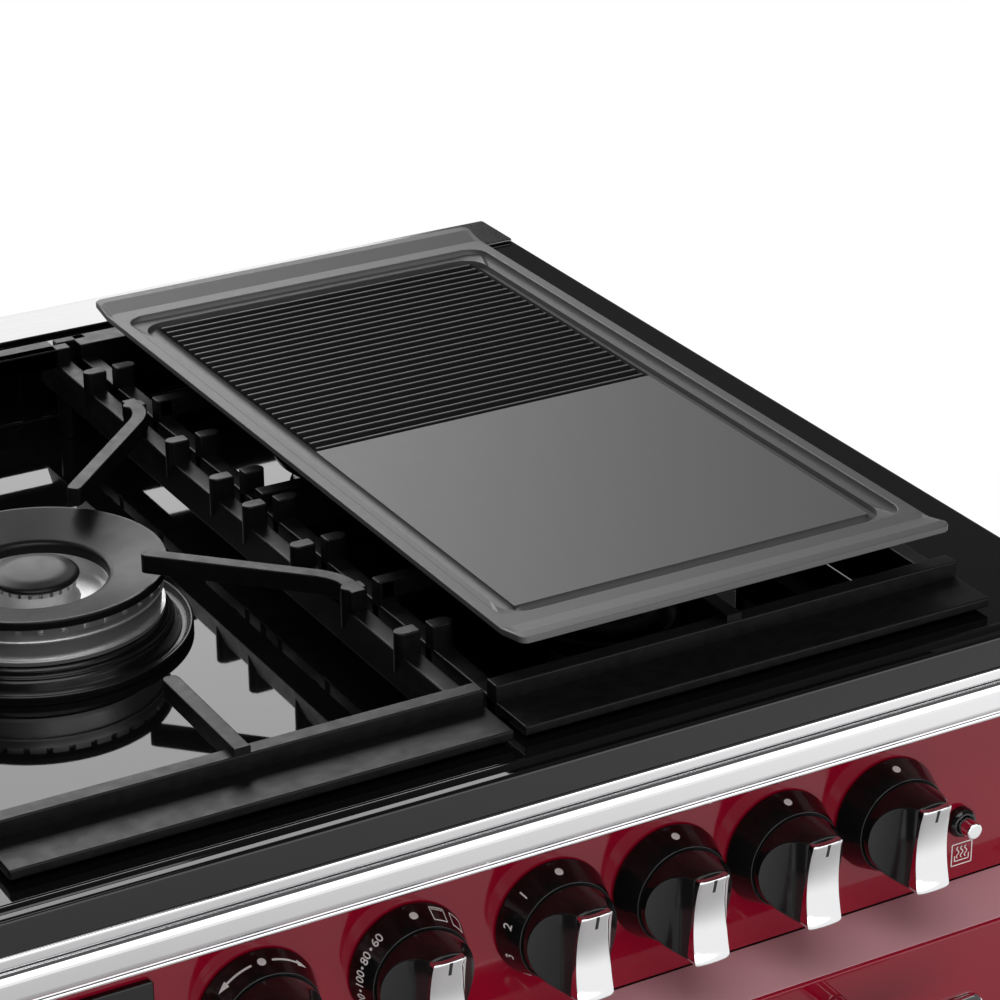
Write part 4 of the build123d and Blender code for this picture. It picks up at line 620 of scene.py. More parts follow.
@dataclass
class PanSupports:
    """The three cast pan supports: stepped front bars, side beams, teeth and fingers with soft edges."""

    edge: float = 0.8 * MM
    pan_plane: float = 20.0 * MM
    bar_top: float = 16.2 * MM
    bar_bottom: float = -8.0 * MM
    back_bottom: float = 5.0 * MM
    ledge_depth: float = 27.5 * MM
    ledge_top: float = 7.8 * MM
    ledge_thick: float = 5.0 * MM
    front_bar: float = 9.0 * MM
    back_bar: float = 16.0 * MM
    beam_foot: float = 14.0 * MM
    beam_head: float = 10.0 * MM
    beam_top: float = 8.0 * MM
    tooth_length: float = 12.5 * MM
    tooth_width: float = 8.2 * MM
    tooth_corner: float = 1.2 * MM
    tooth_offsets: tuple[float, ...] = (19.6 * MM, 74.5 * MM, 130.0 * MM, 184.5 * MM)
    finger_width: float = 8.2 * MM
    finger_depth: float = 10.0 * MM
    finger_proud: float = 0.05 * MM
    tip_reach: float = 0.42
    tip_shrink: float = 0.5
    sunk: float = 2.0 * MM
    core: float = 0.5 * MM
    wok_tip: float = 62.0 * MM
    turn: float = 16.0 * MM
    bend: float = 14.0 * MM
    middle_finger: float = 74.0 * MM
    pair_tip: float = 36.0 * MM
    pair_offset: float = 130.0 * MM
    lap_width: float = 8.0 * MM
    lap_clear: float = 1.5 * MM
    gap: float = 6.0 * MM
    leg_radius: float = 6.0 * MM
    leg_inset: float = 24.0 * MM
    middle_y: float = 10.5 * MM
    rim: float = field(init=False)
    floor: float = field(init=False)

    def __post_init__(self) -> None:
        """Takes the rim's height and the well's floor from the frame."""
        self.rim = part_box("hob_top")[1].z
        self.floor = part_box("centre_pan_support")[0].z

    def bar(self, shell: Shell, box: tuple[float, ...], low: float, high: float) -> None:
        """A straight bar between two heights above the rim."""
        shell.loft(slab(box, (self.rim + low, self.rim + high), self.edge, self.edge, Axis.Z))

    def beam(self, shell: Shell, edge: float, inward: int, run: tuple[float, float]) -> None:
        """A side beam: a softened section, wider at its foot, carried along Y.

        Args:
            shell: Where it goes.
            edge: The X of its upright side.
            inward: The direction from that side to the support's middle.
            run: Where it starts and ends along Y.
        """
        foot = self.rim + self.bar_bottom
        top = self.rim + self.beam_top
        corners = np.array([(edge, (foot + top) / 2), (edge, foot), (edge + inward * self.beam_foot, foot),
                            (edge + inward * self.beam_head, top), (edge, top), (edge, (foot + top) / 2)])
        section = soften(corners, 1.5 * self.edge)[:-1]
        shell.loft(extrusion(section, run, Axis.Y))

    def tooth(self, shell: Shell, edge: float, inward: int, y: float) -> None:
        """An upright block on a side beam, round at its inner end and flat at the outer one.

        Args:
            shell: Where it goes.
            edge: The X of its flat end.
            inward: The direction to its round end.
            y: Its middle.
        """
        half = self.tooth_width / 2
        ends = sorted((edge, edge + inward * self.tooth_length))
        turn = np.radians(np.linspace(0, 90, 6))
        inset = np.concatenate([[0], self.edge * (1 - np.cos(turn))])
        high = self.rim + self.pan_plane
        places = np.concatenate([[self.rim + self.bar_bottom], high - self.edge * (1 - np.sin(turn))])
        boxes = np.array([*ends, y - half, y + half]) + inset[:, None] * INWARD
        flat, round_end = np.full(len(inset), self.tooth_corner), half - inset
        low_u, high_u = (flat, round_end) if inward > 0 else (round_end, flat)
        radii = np.stack([high_u, low_u, low_u, high_u], axis=1)
        shell.loft(Axis.Z.stack(rounded_rects(boxes, radii, 8), places))

    def finger(self, shell: Shell, points: list[tuple[float, float]]) -> None:
        """A bar of softened section along a plan path with rounded bends and a round tip, on a foot.

        The path's bends are quadratic curves. Towards the tip the section narrows as a quarter circle.

        Args:
            shell: Where it goes.
            points: The path's corners, from the root to the tip.
        """
        corners = np.array(points)
        inward = corners[0] - corners[1]
        corners[0] += inward / np.linalg.norm(inward) * self.finger_width / 2
        path = soften(corners, self.bend, 9)
        reach = self.tip_reach * self.finger_width
        last = path[-1] - path[-2]
        last /= np.linalg.norm(last)
        turn = np.radians(np.linspace(0, 84, 7))
        tip = path[-1] + (reach * (np.sin(turn) - 1))[:, None] * last
        path = np.concatenate([path[:-1], tip])
        scale = np.concatenate([np.ones(len(path) - len(turn)), 1 - self.tip_shrink * (1 - np.cos(turn))])
        run = np.gradient(path, axis=0)
        run /= np.linalg.norm(run, axis=1, keepdims=True)
        side = np.stack([-run[:, 1], run[:, 0]], axis=1)
        half = self.finger_width / 2
        high = self.rim + self.pan_plane + self.finger_proud
        boxes = np.broadcast_to(np.array([-half, half, high - self.finger_depth, high]), (len(path), 4))
        section = rounded_rects(boxes, np.full(len(path), self.edge), 4)
        across = section[..., :1] * scale[:, None, None]
        plan = path[:, None, :] + across * side[:, None, :]
        shell.loft(np.concatenate([plan, section[..., 1:]], axis=-1))
        foot = self.rim + self.bar_bottom
        self.post(shell, tuple(points[0]), half, (foot, high - self.sunk))

    def post(self, shell: Shell, centre: tuple[float, float], radius: float,
             run: tuple[float, float]) -> None:
        """A turned post with soft edges between two heights.

        Args:
            shell: Where it goes.
            centre: Its X and Y.
            radius: Its radius.
            run: Its lowest and highest height.
        """
        outline = np.array([(self.core, run[0]), (radius, run[0]), (radius, run[1]), (self.core, run[1])])
        shell.loft(lathe(soften(outline, self.edge), centre, Axis.Z, 32))

    def base(self, x: tuple[float, float], y: tuple[float, float]) -> Shell:
        """What every support has: a stepped front bar, two beams with teeth, and four legs.

        Args:
            x: The support's limits along X.
            y: Its limits along Y.

        Returns:
            The shell with these pieces.
        """
        shell = Shell()
        bar_y = y[0] + self.ledge_depth
        self.bar(shell, (*x, y[0], bar_y + self.sunk), self.ledge_top - self.ledge_thick, self.ledge_top)
        self.bar(shell, (*x, bar_y, bar_y + self.front_bar), self.bar_bottom, self.bar_top)
        for edge, inward in ((x[0], 1), (x[1], -1)):
            self.beam(shell, edge, inward, (bar_y + self.edge, y[1] - self.edge))
            for side in (-1, 1):
                for offset in self.tooth_offsets:
                    self.tooth(shell, edge, inward, self.middle_y + side * offset)
            leg_x = edge + inward * (self.beam_head - self.leg_radius / 2)
            for leg_y in (bar_y + self.leg_inset, y[1] - self.leg_inset):
                self.post(shell, (leg_x, leg_y), self.leg_radius, (self.floor, self.rim))
        return shell

    def centre(self) -> Shell:
        """The wok's support: four bent fingers towards the ring, and one each from the front and back."""
        low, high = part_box("centre_pan_support")
        shell = self.base((low.x, high.x), (low.y, high.y))
        tip = self.wok_tip * math.cos(math.radians(45))
        root = high.x - self.tooth_length / 2
        for sx in (-1, 1):
            for sy in (-1, 1):
                corners = [(sx * root, sy * (root + self.turn)), (sx * root, sy * root), (sx * tip, sy * tip)]
                self.finger(shell, [(x, self.middle_y + y) for x, y in corners])
        front = low.y + self.ledge_depth + self.front_bar / 2
        back = high.y - self.back_bar / 2
        self.finger(shell, [(0, front), (0, front + self.middle_finger)])
        self.finger(shell, [(0, back), (0, back - self.middle_finger)])
        edge = high.x - self.lap_width
        self.bar(shell, (-edge, edge, high.y - self.back_bar, high.y), self.back_bottom, self.bar_top)
        self.bar(shell, (low.x, high.x, high.y - self.back_bar, back), self.back_bottom, self.bar_top)
        return shell

    def side(self, node: str, s: int) -> Shell:
        """A support over two burners: a cross bar, four fingers round each burner and a lapped back bar.

        Args:
            node: The node that gives its limits.
            s: 1 for the right one, -1 for the left one.

        Returns:
            The shell.
        """
        low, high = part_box(node)
        outer = max(abs(low.x), abs(high.x))
        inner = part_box("centre_pan_support")[1].x + self.gap
        x = tuple(sorted((s * inner, s * outer)))
        shell = self.base(x, (low.y, high.y))
        middle = sum(x) / 2
        half = self.front_bar / 2
        y = self.middle_y
        self.bar(shell, (*x, y - half, y + half), self.bar_bottom, self.bar_top)
        self.bar(shell, (*x, high.y - self.back_bar, high.y), self.bar_bottom, self.bar_top)
        tab = sorted((s * (inner - self.gap / 2 - self.lap_width), s * (inner + self.lap_width)))
        front = low.y + self.ledge_depth + half
        back = high.y - self.back_bar / 2
        self.bar(shell, (*tab, back + self.lap_clear, high.y), self.bar_bottom, self.bar_top)
        for burner_y, outer_y in ((y - self.pair_offset, front), (y + self.pair_offset, back)):
            for edge, inward in ((x[0], 1), (x[1], -1)):
                root = edge + inward * self.tooth_length / 2
                self.finger(shell, [(root, burner_y), (middle - inward * self.pair_tip, burner_y)])
            away = 1 if outer_y > burner_y else -1
            self.finger(shell, [(middle, outer_y), (middle, burner_y + away * self.pair_tip)])
            self.finger(shell, [(middle, y), (middle, burner_y - away * self.pair_tip)])
        return shell

    def dress(self) -> None:
        """Adds the three castings."""
        made = self.centre().mesh("centre_support_casting")
        add_piece("centre_support_casting", made, "centre_support", CAST_IRON, "centre_pan_support")
        for side, s in (("left", -1), ("right", 1)):
            made = self.side(f"{side}_pan_support", s).mesh(f"{side}_support_casting")
            add_piece(f"{side}_support_casting", made, f"{side}_support", CAST_IRON, f"{side}_pan_support")


@dataclass
class Burners:
    """The wok burner and the four burners of the side pairs."""

    pair_x: float = 260.5 * MM
    pair_offset: float = 130.0 * MM
    middle_y: float = 10.5 * MM
    floor: float = 871.0 * MM
    caps: tuple[tuple[int, int, float], ...] = (
        (-1, -1, 38.0 * MM), (-1, 1, 30.0 * MM), (1, -1, 30.0 * MM), (1, 1, 46.0 * MM))
    flange: float = 9.0 * MM
    flange_height: float = 8.0 * MM
    head_height: float = 15.0 * MM
    cap_height: float = 8.0 * MM
    dish_radius: float = 79.0 * MM
    wok_shift: float = 3.0 * MM
    ring_low: float = 35.0 * MM
    ring_thick: float = 4.8 * MM
    ring_radius: float = 67.5 * MM
    ring_dish: float = 6.8 * MM
    hole_radius: float = 37.0 * MM
    inner_top: float = 31.5 * MM
    inner_cap: float = 23.0 * MM
    wok_slots: int = 36
    inner_slots: int = 24
    pair_slots: int = 20
    pair_slot_depth: float = 3.0 * MM
    wok_slot_depth: float = 2.4 * MM
    head_inset: float = 2.5 * MM
    shoulder: float = 3.0 * MM
    base_core: float = 6.0 * MM
    head_core: float = 8.0 * MM
    cap_core: float = 4.0 * MM
    inner_core: float = 3.0 * MM
    wok: tuple[float, float] = field(init=False)

    def __post_init__(self) -> None:
        """Puts the wok burner at its place."""
        self.wok = (self.wok_shift, self.middle_y)

    def places(self) -> list[tuple[tuple[float, float], float]]:
        """Each side burner's centre and cap radius."""
        return [((sx * self.pair_x, self.middle_y + sy * self.pair_offset), cap) for sx, sy, cap in self.caps]

    def on_floor(self, outline: list[tuple[float, float]]) -> Array:
        """Points of (radius, height above the well's floor) in millimetres, as metres in the part frame."""
        return np.array(outline) * MM + (0, self.floor)

    def bases(self) -> bpy.types.Mesh:
        """The turned bases: a flange with a rounded shoulder, and the wok's lipped dish and stacked rings.

        Returns:
            One mesh of five turned shapes.
        """
        shell = Shell()
        for centre, cap in self.places():
            top = self.floor + self.flange_height
            edge = cap + self.flange
            outline = [(self.base_core, self.floor), (edge, self.floor), (edge, top - self.shoulder),
                       (cap + self.shoulder, top), (self.base_core, top)]
            shell.loft(lathe(soften(outline, 2.5 * MM), centre, Axis.Z))
        dish = self.dish_radius / MM
        outline = self.on_floor([
            (20, 0), (dish, 0), (dish, 4.6), (dish - 1.6, 5.2), (dish - 3.4, 1.8), (72.5, 1.4), (71.0, 3.5),
            (69.5, 7.6), (68.5, 8.2), (68.5, 9.4), (67, 9.8), (66.5, 12.6), (64.5, 14), (20, 14)])
        shell.loft(lathe(soften(outline, 1.0 * MM), self.wok, Axis.Z, 112))
        return shell.mesh("burner_base_castings")

    def heads(self) -> bpy.types.Mesh:
        """The slotted flame rings: the radius drops in each slot near the top edge.

        The wok has two, an outer one with a dished top and a small one in its middle.

        Returns:
            One mesh of six turned and slotted shapes.
        """
        shell = Shell()
        for centre, cap in self.places():
            low = self.floor + self.flange_height
            high = low + self.head_height
            radius = cap - self.head_inset
            heights = np.array([low, low, high - 5 * MM, high - 4.4 * MM, high - 0.6 * MM, high, high])
            radii = np.array([self.head_core, *[radius] * 5, self.head_core])
            cut = (self.pair_slot_depth, high - 4.5 * MM, high - 0.5 * MM)
            shell.loft(slotted_lathe(np.stack([radii, heights], 1), centre, self.pair_slots, cut))
        ring = self.on_floor([
            (10, 14.0), (62.5, 14.0), (62.5, 14.5), (65.2, 14.6), (65.2, 16.6), (63.0, 16.9), (63.3, 17.6),
            (63.8, 25.6), (64.9, 26.4), (64.9, 27.2), (64.2, 27.6), (64.8, 29.8), (65.0, 31.3), (65.0, 31.4),
            (65.0, 34.9), (65.0, 35.0), (36.9, 27.2), (36.6, 21.5), (35.0, 20.2), (10.0, 20.0)])
        inner = self.on_floor([
            (8.0, 19.0), (22.6, 19.0), (22.6, 20.2), (20.8, 21.0), (20.2, 24.4), (20.8, 29.1), (20.8, 29.2),
            (20.8, 31.4), (20.8, 31.5), (8.0, 31.5)])
        for outline, slots, low, high in ((ring, self.wok_slots, 31.35, 34.95),
                                          (inner, self.inner_slots, 29.15, 31.45)):
            cut = (self.wok_slot_depth, self.floor + low * MM, self.floor + high * MM)
            shell.loft(slotted_lathe(outline, self.wok, slots, cut))
        return shell.mesh("burner_flame_rings", 28)

    def lids(self) -> bpy.types.Mesh:
        """The enamelled caps: discs with a rounded edge and a slight crown, and the wok's ring and inner cap.

        The ring slopes down from its outer edge to its hole, where it turns down as a short collar.

        Returns:
            One mesh of six turned shapes.
        """
        shell = Shell()
        for centre, cap in self.places():
            low = self.floor + self.flange_height + self.head_height
            high = low + self.cap_height
            outline = [(self.cap_core, low), (cap, low), (cap, high - 2.5 * MM), (cap * 0.8, high - 0.4 * MM),
                       (self.cap_core, high)]
            shell.loft(lathe(soften(outline, 3.5 * MM), centre, Axis.Z))
        low = self.floor + self.ring_low
        high = low + self.ring_thick
        hole = self.hole_radius
        outer = self.ring_radius
        middle = (hole + outer) / 2
        dish = self.ring_dish
        outline = [(middle, low - dish / 2), (outer, low), (outer, high - 0.4 * MM), (outer - 1 * MM, high),
                   (hole + 2 * MM, high - dish + 0.4 * MM), (hole, high - dish - 1.2 * MM),
                   (hole, low - dish - 2 * MM), (hole + 2 * MM, low - dish - 2 * MM),
                   (hole + 2.5 * MM, low - dish + 0.2 * MM), (middle, low - dish / 2)]
        shell.loft(lathe(soften(outline, 1.2 * MM)[:-1], self.wok, Axis.Z, 112), True)
        base = self.floor + self.inner_top
        cap = self.inner_cap
        outline = [(self.inner_core, base), (cap - 1.5 * MM, base), (cap, base + 1.6 * MM),
                   (cap - 1.0 * MM, base + 3.2 * MM), (cap * 0.66, base + 5 * MM),
                   (self.inner_core, base + 6 * MM)]
        shell.loft(lathe(soften(outline, 1.8 * MM), self.wok, Axis.Z, 84))
        return shell.mesh("burner_lids")

    def dress(self) -> None:
        """Adds the bases, the flame rings and the lids."""
        add_piece("burner_base_castings", self.bases(), ROOT, BLACK_ENAMEL, "burner_bases")
        add_piece("burner_flame_rings", self.heads(), ROOT, ALUMINIUM, "burner_heads")
        add_piece("burner_lids", self.lids(), ROOT, CAP_ENAMEL, "burner_caps")


@dataclass
class Griddle:
    """The cast griddle with upturned ends, a drain channel, a flat front half and a ribbed back half."""

    flange: float = 19.1 * MM
    rise: float = 3.0 * MM
    right_trim: float = 4.0 * MM
    channel_inset: tuple[float, float] = (6.6 * MM, 29.0 * MM)
    plate_inset: tuple[float, float] = (20.0 * MM, 41.6 * MM)
    plate_drop: float = 3.0 * MM
    channel_step: float = 0.4 * MM
    channel_depth: float = 5.0 * MM
    channel_corners: tuple[float, float] = (11.0 * MM, 3.0 * MM)
    plate_sunk: float = 7.0 * MM
    ribs: int = 27
    rib_height: float = 3.5 * MM
    rib_foot: float = 5.4 * MM
    rib_crest: float = 0.9 * MM
    end_lip: float = 6.5 * MM
    flat_share: float = 0.507
    rib_end: float = 2.0 * MM
    rib_chamfer: float = 0.8 * MM
    plate_under: float = 2.0 * MM
    crest_proud: float = 0.1 * MM

    def limits(self) -> tuple[float, float, float, float]:
        """The rim's outline, from the frame's box: low and high X, low and high Y."""
        low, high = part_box("griddle")
        return low.x, high.x - self.right_trim, low.y, high.y

    def tray(self) -> Array:
        """Rounded rectangles from the belly over the rim and down into the channel, lifted at the ends.

        The channel is half an ellipse between the rim and the plate. Each ring has two more points on
        each long side, at the flange's inner edge, so that only the ends are lifted.

        Returns:
            Rings of points.
        """
        low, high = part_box("griddle")
        top = (high.z - self.rise) / MM
        start_x, start_y = np.array(self.channel_inset) / MM
        lip, flange = self.end_lip / MM, self.flange / MM
        steps = np.array([
            (22, 38, low.z / MM, 12), (15, 36, low.z / MM, 13), (13, 35, low.z / MM + 2, 14),
            (13, 35, top - 3.6, 14), (0.6, 0.6, top - 3.6, 4), (0, 0, top - 3.0, 5), (0, 0, top - 0.5, 5),
            (0.15, 0.15, top - 0.15, 5), (0.6, 0.6, top, 5), (1.2, lip - 0.3, top, 4),
            (1.3, lip + 0.3, top, 4), (2.0, flange - 0.3, top, 4), (2.1, flange + 0.3, top, 4),
            (start_x - 0.6, start_y - 0.6, top, 10), (start_x - 0.2, start_y - 0.2, top - 0.15, 11)])
        u = np.linspace(0, 1, 41)
        hollow = (1 - np.cos(math.pi * u)) / 2
        step = self.channel_step
        depth = (step + (self.plate_drop - step) * u + self.channel_depth * np.sin(math.pi * u)) / MM
        corner = np.interp(u, (0, 1), self.channel_corners) / MM
        plate_x, plate_y = np.array(self.plate_inset) / MM
        channel = np.stack([start_x + hollow * (plate_x - start_x), start_y + hollow * (plate_y - start_y),
                            top - depth, corner], axis=1)
        sunk = channel[-1:] - (0, 0, self.plate_sunk / MM, 0)
        steps = np.concatenate([steps, channel, sunk])
        inset = steps[:, [0, 0, 1, 1]] * INWARD * MM
        outer = np.array(self.limits())
        plan = rounded_rects(outer + inset, steps[:, 3] * MM, 7)
        middle = (outer[2] + outer[3]) / 2
        crease = np.minimum((outer[3] - outer[2]) / 2 - self.flange, 0.98 * (plan[:, 15, 1] - middle))
        left = [np.stack([plan[:, 15, 0], middle + s * crease], axis=1)[:, None] for s in (1, -1)]
        right = [np.stack([plan[:, 31, 0], middle + s * crease], axis=1)[:, None] for s in (-1, 1)]
        plan = np.concatenate([plan[:, :16], *left, plan[:, 16:], *right], axis=1)
        rings = Axis.Z.stack(plan, steps[:, 2] * MM)
        return self.lifted(rings, middle, (outer[3] - outer[2]) / 2 - self.flange)

    def lifted(self, points: Array, middle: float, start: float) -> Array:
        """Raises the points past a distance from the middle.

        Args:
            points: The points.
            middle: The griddle's middle along Y.
            start: The distance at which the lift starts.

        Returns:
            The raised points.
        """
        run = self.flange - self.end_lip
        share = np.clip((np.abs(points[..., 1] - middle) - start) / run, 0, 1)
        raised = points.copy()
        raised[..., 2] += self.rise * share
        return raised

    def layout(self) -> tuple[tuple[float, float], tuple[float, float], Array, float]:
        """Where the plate lies.

        Returns:
            Its limits along X and Y, each rib's middle along Y, and the height of its top.
        """
        low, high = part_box("griddle")
        outer = self.limits()
        x = (outer[0] + self.plate_inset[0], outer[1] - self.plate_inset[0])
        y = (low.y + self.plate_inset[1], high.y - self.plate_inset[1])
        split = self.split(y)
        pitch = (y[1] - split) / self.ribs
        return x, y, split + (np.arange(self.ribs) + 0.5) * pitch, high.z - self.rise - self.plate_drop

    def split(self, y: tuple[float, float]) -> float:
        """Where the flat front of the plate ends and the ribs begin."""
        return y[0] + (y[1] - y[0]) * self.flat_share

    def plate(self) -> tuple[Array, Array]:
        """The flat front slab, and the ribs as one wavy profile along Y carried along X.

        Returns:
            The slab's rings and the ribs' rings.
        """
        x, y, centres, top = self.layout()
        foot = top - self.rib_height
        base = foot - self.plate_under
        split = self.split(y)
        flat = slab((*x, y[0], split), (base, top), 0.8 * MM, 0.3 * MM, Axis.Z)
        crest = np.array([(-self.rib_foot / 2, 0), (-self.rib_crest / 2, 0.9), (-self.rib_crest / 3, 1),
                          (self.rib_crest / 3, 1), (self.rib_crest / 2, 0.9), (self.rib_foot / 2, 0)])
        across = (centres[:, None] + crest[None, :, 0]).ravel()
        lift = np.tile(crest[:, 1], self.ribs) * self.rib_height
        ring_y = np.concatenate([[split, split], across, [y[1], y[1]]])
        ends = np.array([0, 0.6, 1, 1, 0.6, 0])
        rise = np.array([0, self.rib_chamfer, self.rib_end])
        stations = np.concatenate([x[0] + rise, x[1] - rise[::-1]])
        heights = foot + ends[:, None] * lift[None, :]
        base_line, foot_line = np.full((len(ends), 1), base), np.full((len(ends), 1), foot)
        ring_z = np.concatenate([base_line, foot_line, heights, foot_line, base_line], axis=1)
        ribs = np.stack([np.broadcast_to(ring_y, ring_z.shape), ring_z], axis=-1)
        return flat, Axis.X.stack(ribs, stations)

    def crests(self) -> Shell:
        """A thin flat strip along the top of each rib, in the plate's lighter coating, since the rib's own
        darker colour is painted shade.
        """
        x, _, centres, top = self.layout()
        run = (x[0] + self.rib_end, x[1] - self.rib_end)
        top += self.crest_proud
        half = self.rib_crest / 2
        shell = Shell()
        for middle in centres:
            box = (*run, middle - half, middle + half)
            shell.loft(slab(box, (top - MM, top), half / 2, self.crest_proud, Axis.Z))
        return shell

    def dress(self) -> None:
        """Adds the casting, its ribs and their crests."""
        flat, ribs = self.plate()
        made = Shell().loft(self.tray()).loft(flat).mesh("griddle_casting", 14)
        add_piece("griddle_casting", made, "griddle", GRIDDLE_COAT, "griddle")
        # The ribs' darker finish is painted shade; their crests and the plate share the lighter coating.
        add_piece("griddle_ribs", Shell().loft(ribs).mesh("griddle_ribs", 40), "griddle", RIB_PAINTED_SHADE)
        add_piece("griddle_rib_crests", self.crests().mesh("griddle_rib_crests"), "griddle", GRIDDLE_COAT)


@dataclass
class TrimRail:
    """The chrome moulding under the hob's front edge."""

    back: float = 4.0 * MM
    foot: float = 3.0 * MM
    crown_from: float = -48.0
    crown_centre: tuple[float, float] = (-3.2, 13.4)
    crown_radii: tuple[float, float] = (6.0, 7.2)

    def build(self) -> bpy.types.Mesh:
        """A section of beads, in millimetres out from the hob's front and down, carried along X.

        Going down: a narrow flat bead, a groove, a wide bead that is a quarter oval above and nearly
        upright below, a second groove and a small lip, with a foot behind that reaches the panel.

        Returns:
            The rail's mesh.
        """
        low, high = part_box("trim_rail")
        hob_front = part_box("hob_top")[0].y
        bead = np.array([(-1.6, 0.0), (0.9, 0.2), (1.3, 1.2), (1.1, 6.2), (0.2, 6.9), (-1.4, 7.1)])
        bead = soften(bead, 0.9, 6)
        groove = np.array([(-1.5, 7.2), (-1.5, 7.6)])
        turn = np.radians(np.linspace(self.crown_from, 0, 21))
        crown = np.stack([np.cos(turn), np.sin(turn)], axis=1) * self.crown_radii + self.crown_centre
        face = soften(np.array([(2.8, 13.4), (2.5, 22.9), (1.2, 24.3), (-0.9, 24.6)]), 2.4, 9)[1:]
        lip = np.array([(-1.0, 25.4), (-0.4, 25.8), (0.5, 26.2), (0.7, 26.8), (0.7, 27.6), (0.2, 28.2)])
        section = np.concatenate([bead, groove, crown, face, lip]) * MM
        front = np.stack([hob_front - section[:, 0], high.z - section[:, 1]], axis=1)
        inner = hob_front + self.back
        behind = np.array([(high.y, low.z), (high.y, low.z + self.foot), (inner, low.z + self.foot),
                           (inner, high.z)])
        rings = extrusion(np.concatenate([front, behind]), (low.x, high.x), Axis.X)
        return Shell().loft(rings).mesh("trim_rail_moulding", 40)

    def dress(self) -> None:
        """Adds the rail."""
        add_piece("trim_rail_moulding", self.build(), ROOT, CHROME, "trim_rail")


class Dial(Enum):
    """What is printed on a knob's skirt."""

    ARROWS = "arrows"
    OVEN = "oven"
    STEPS = "steps"
    GAS = "gas"


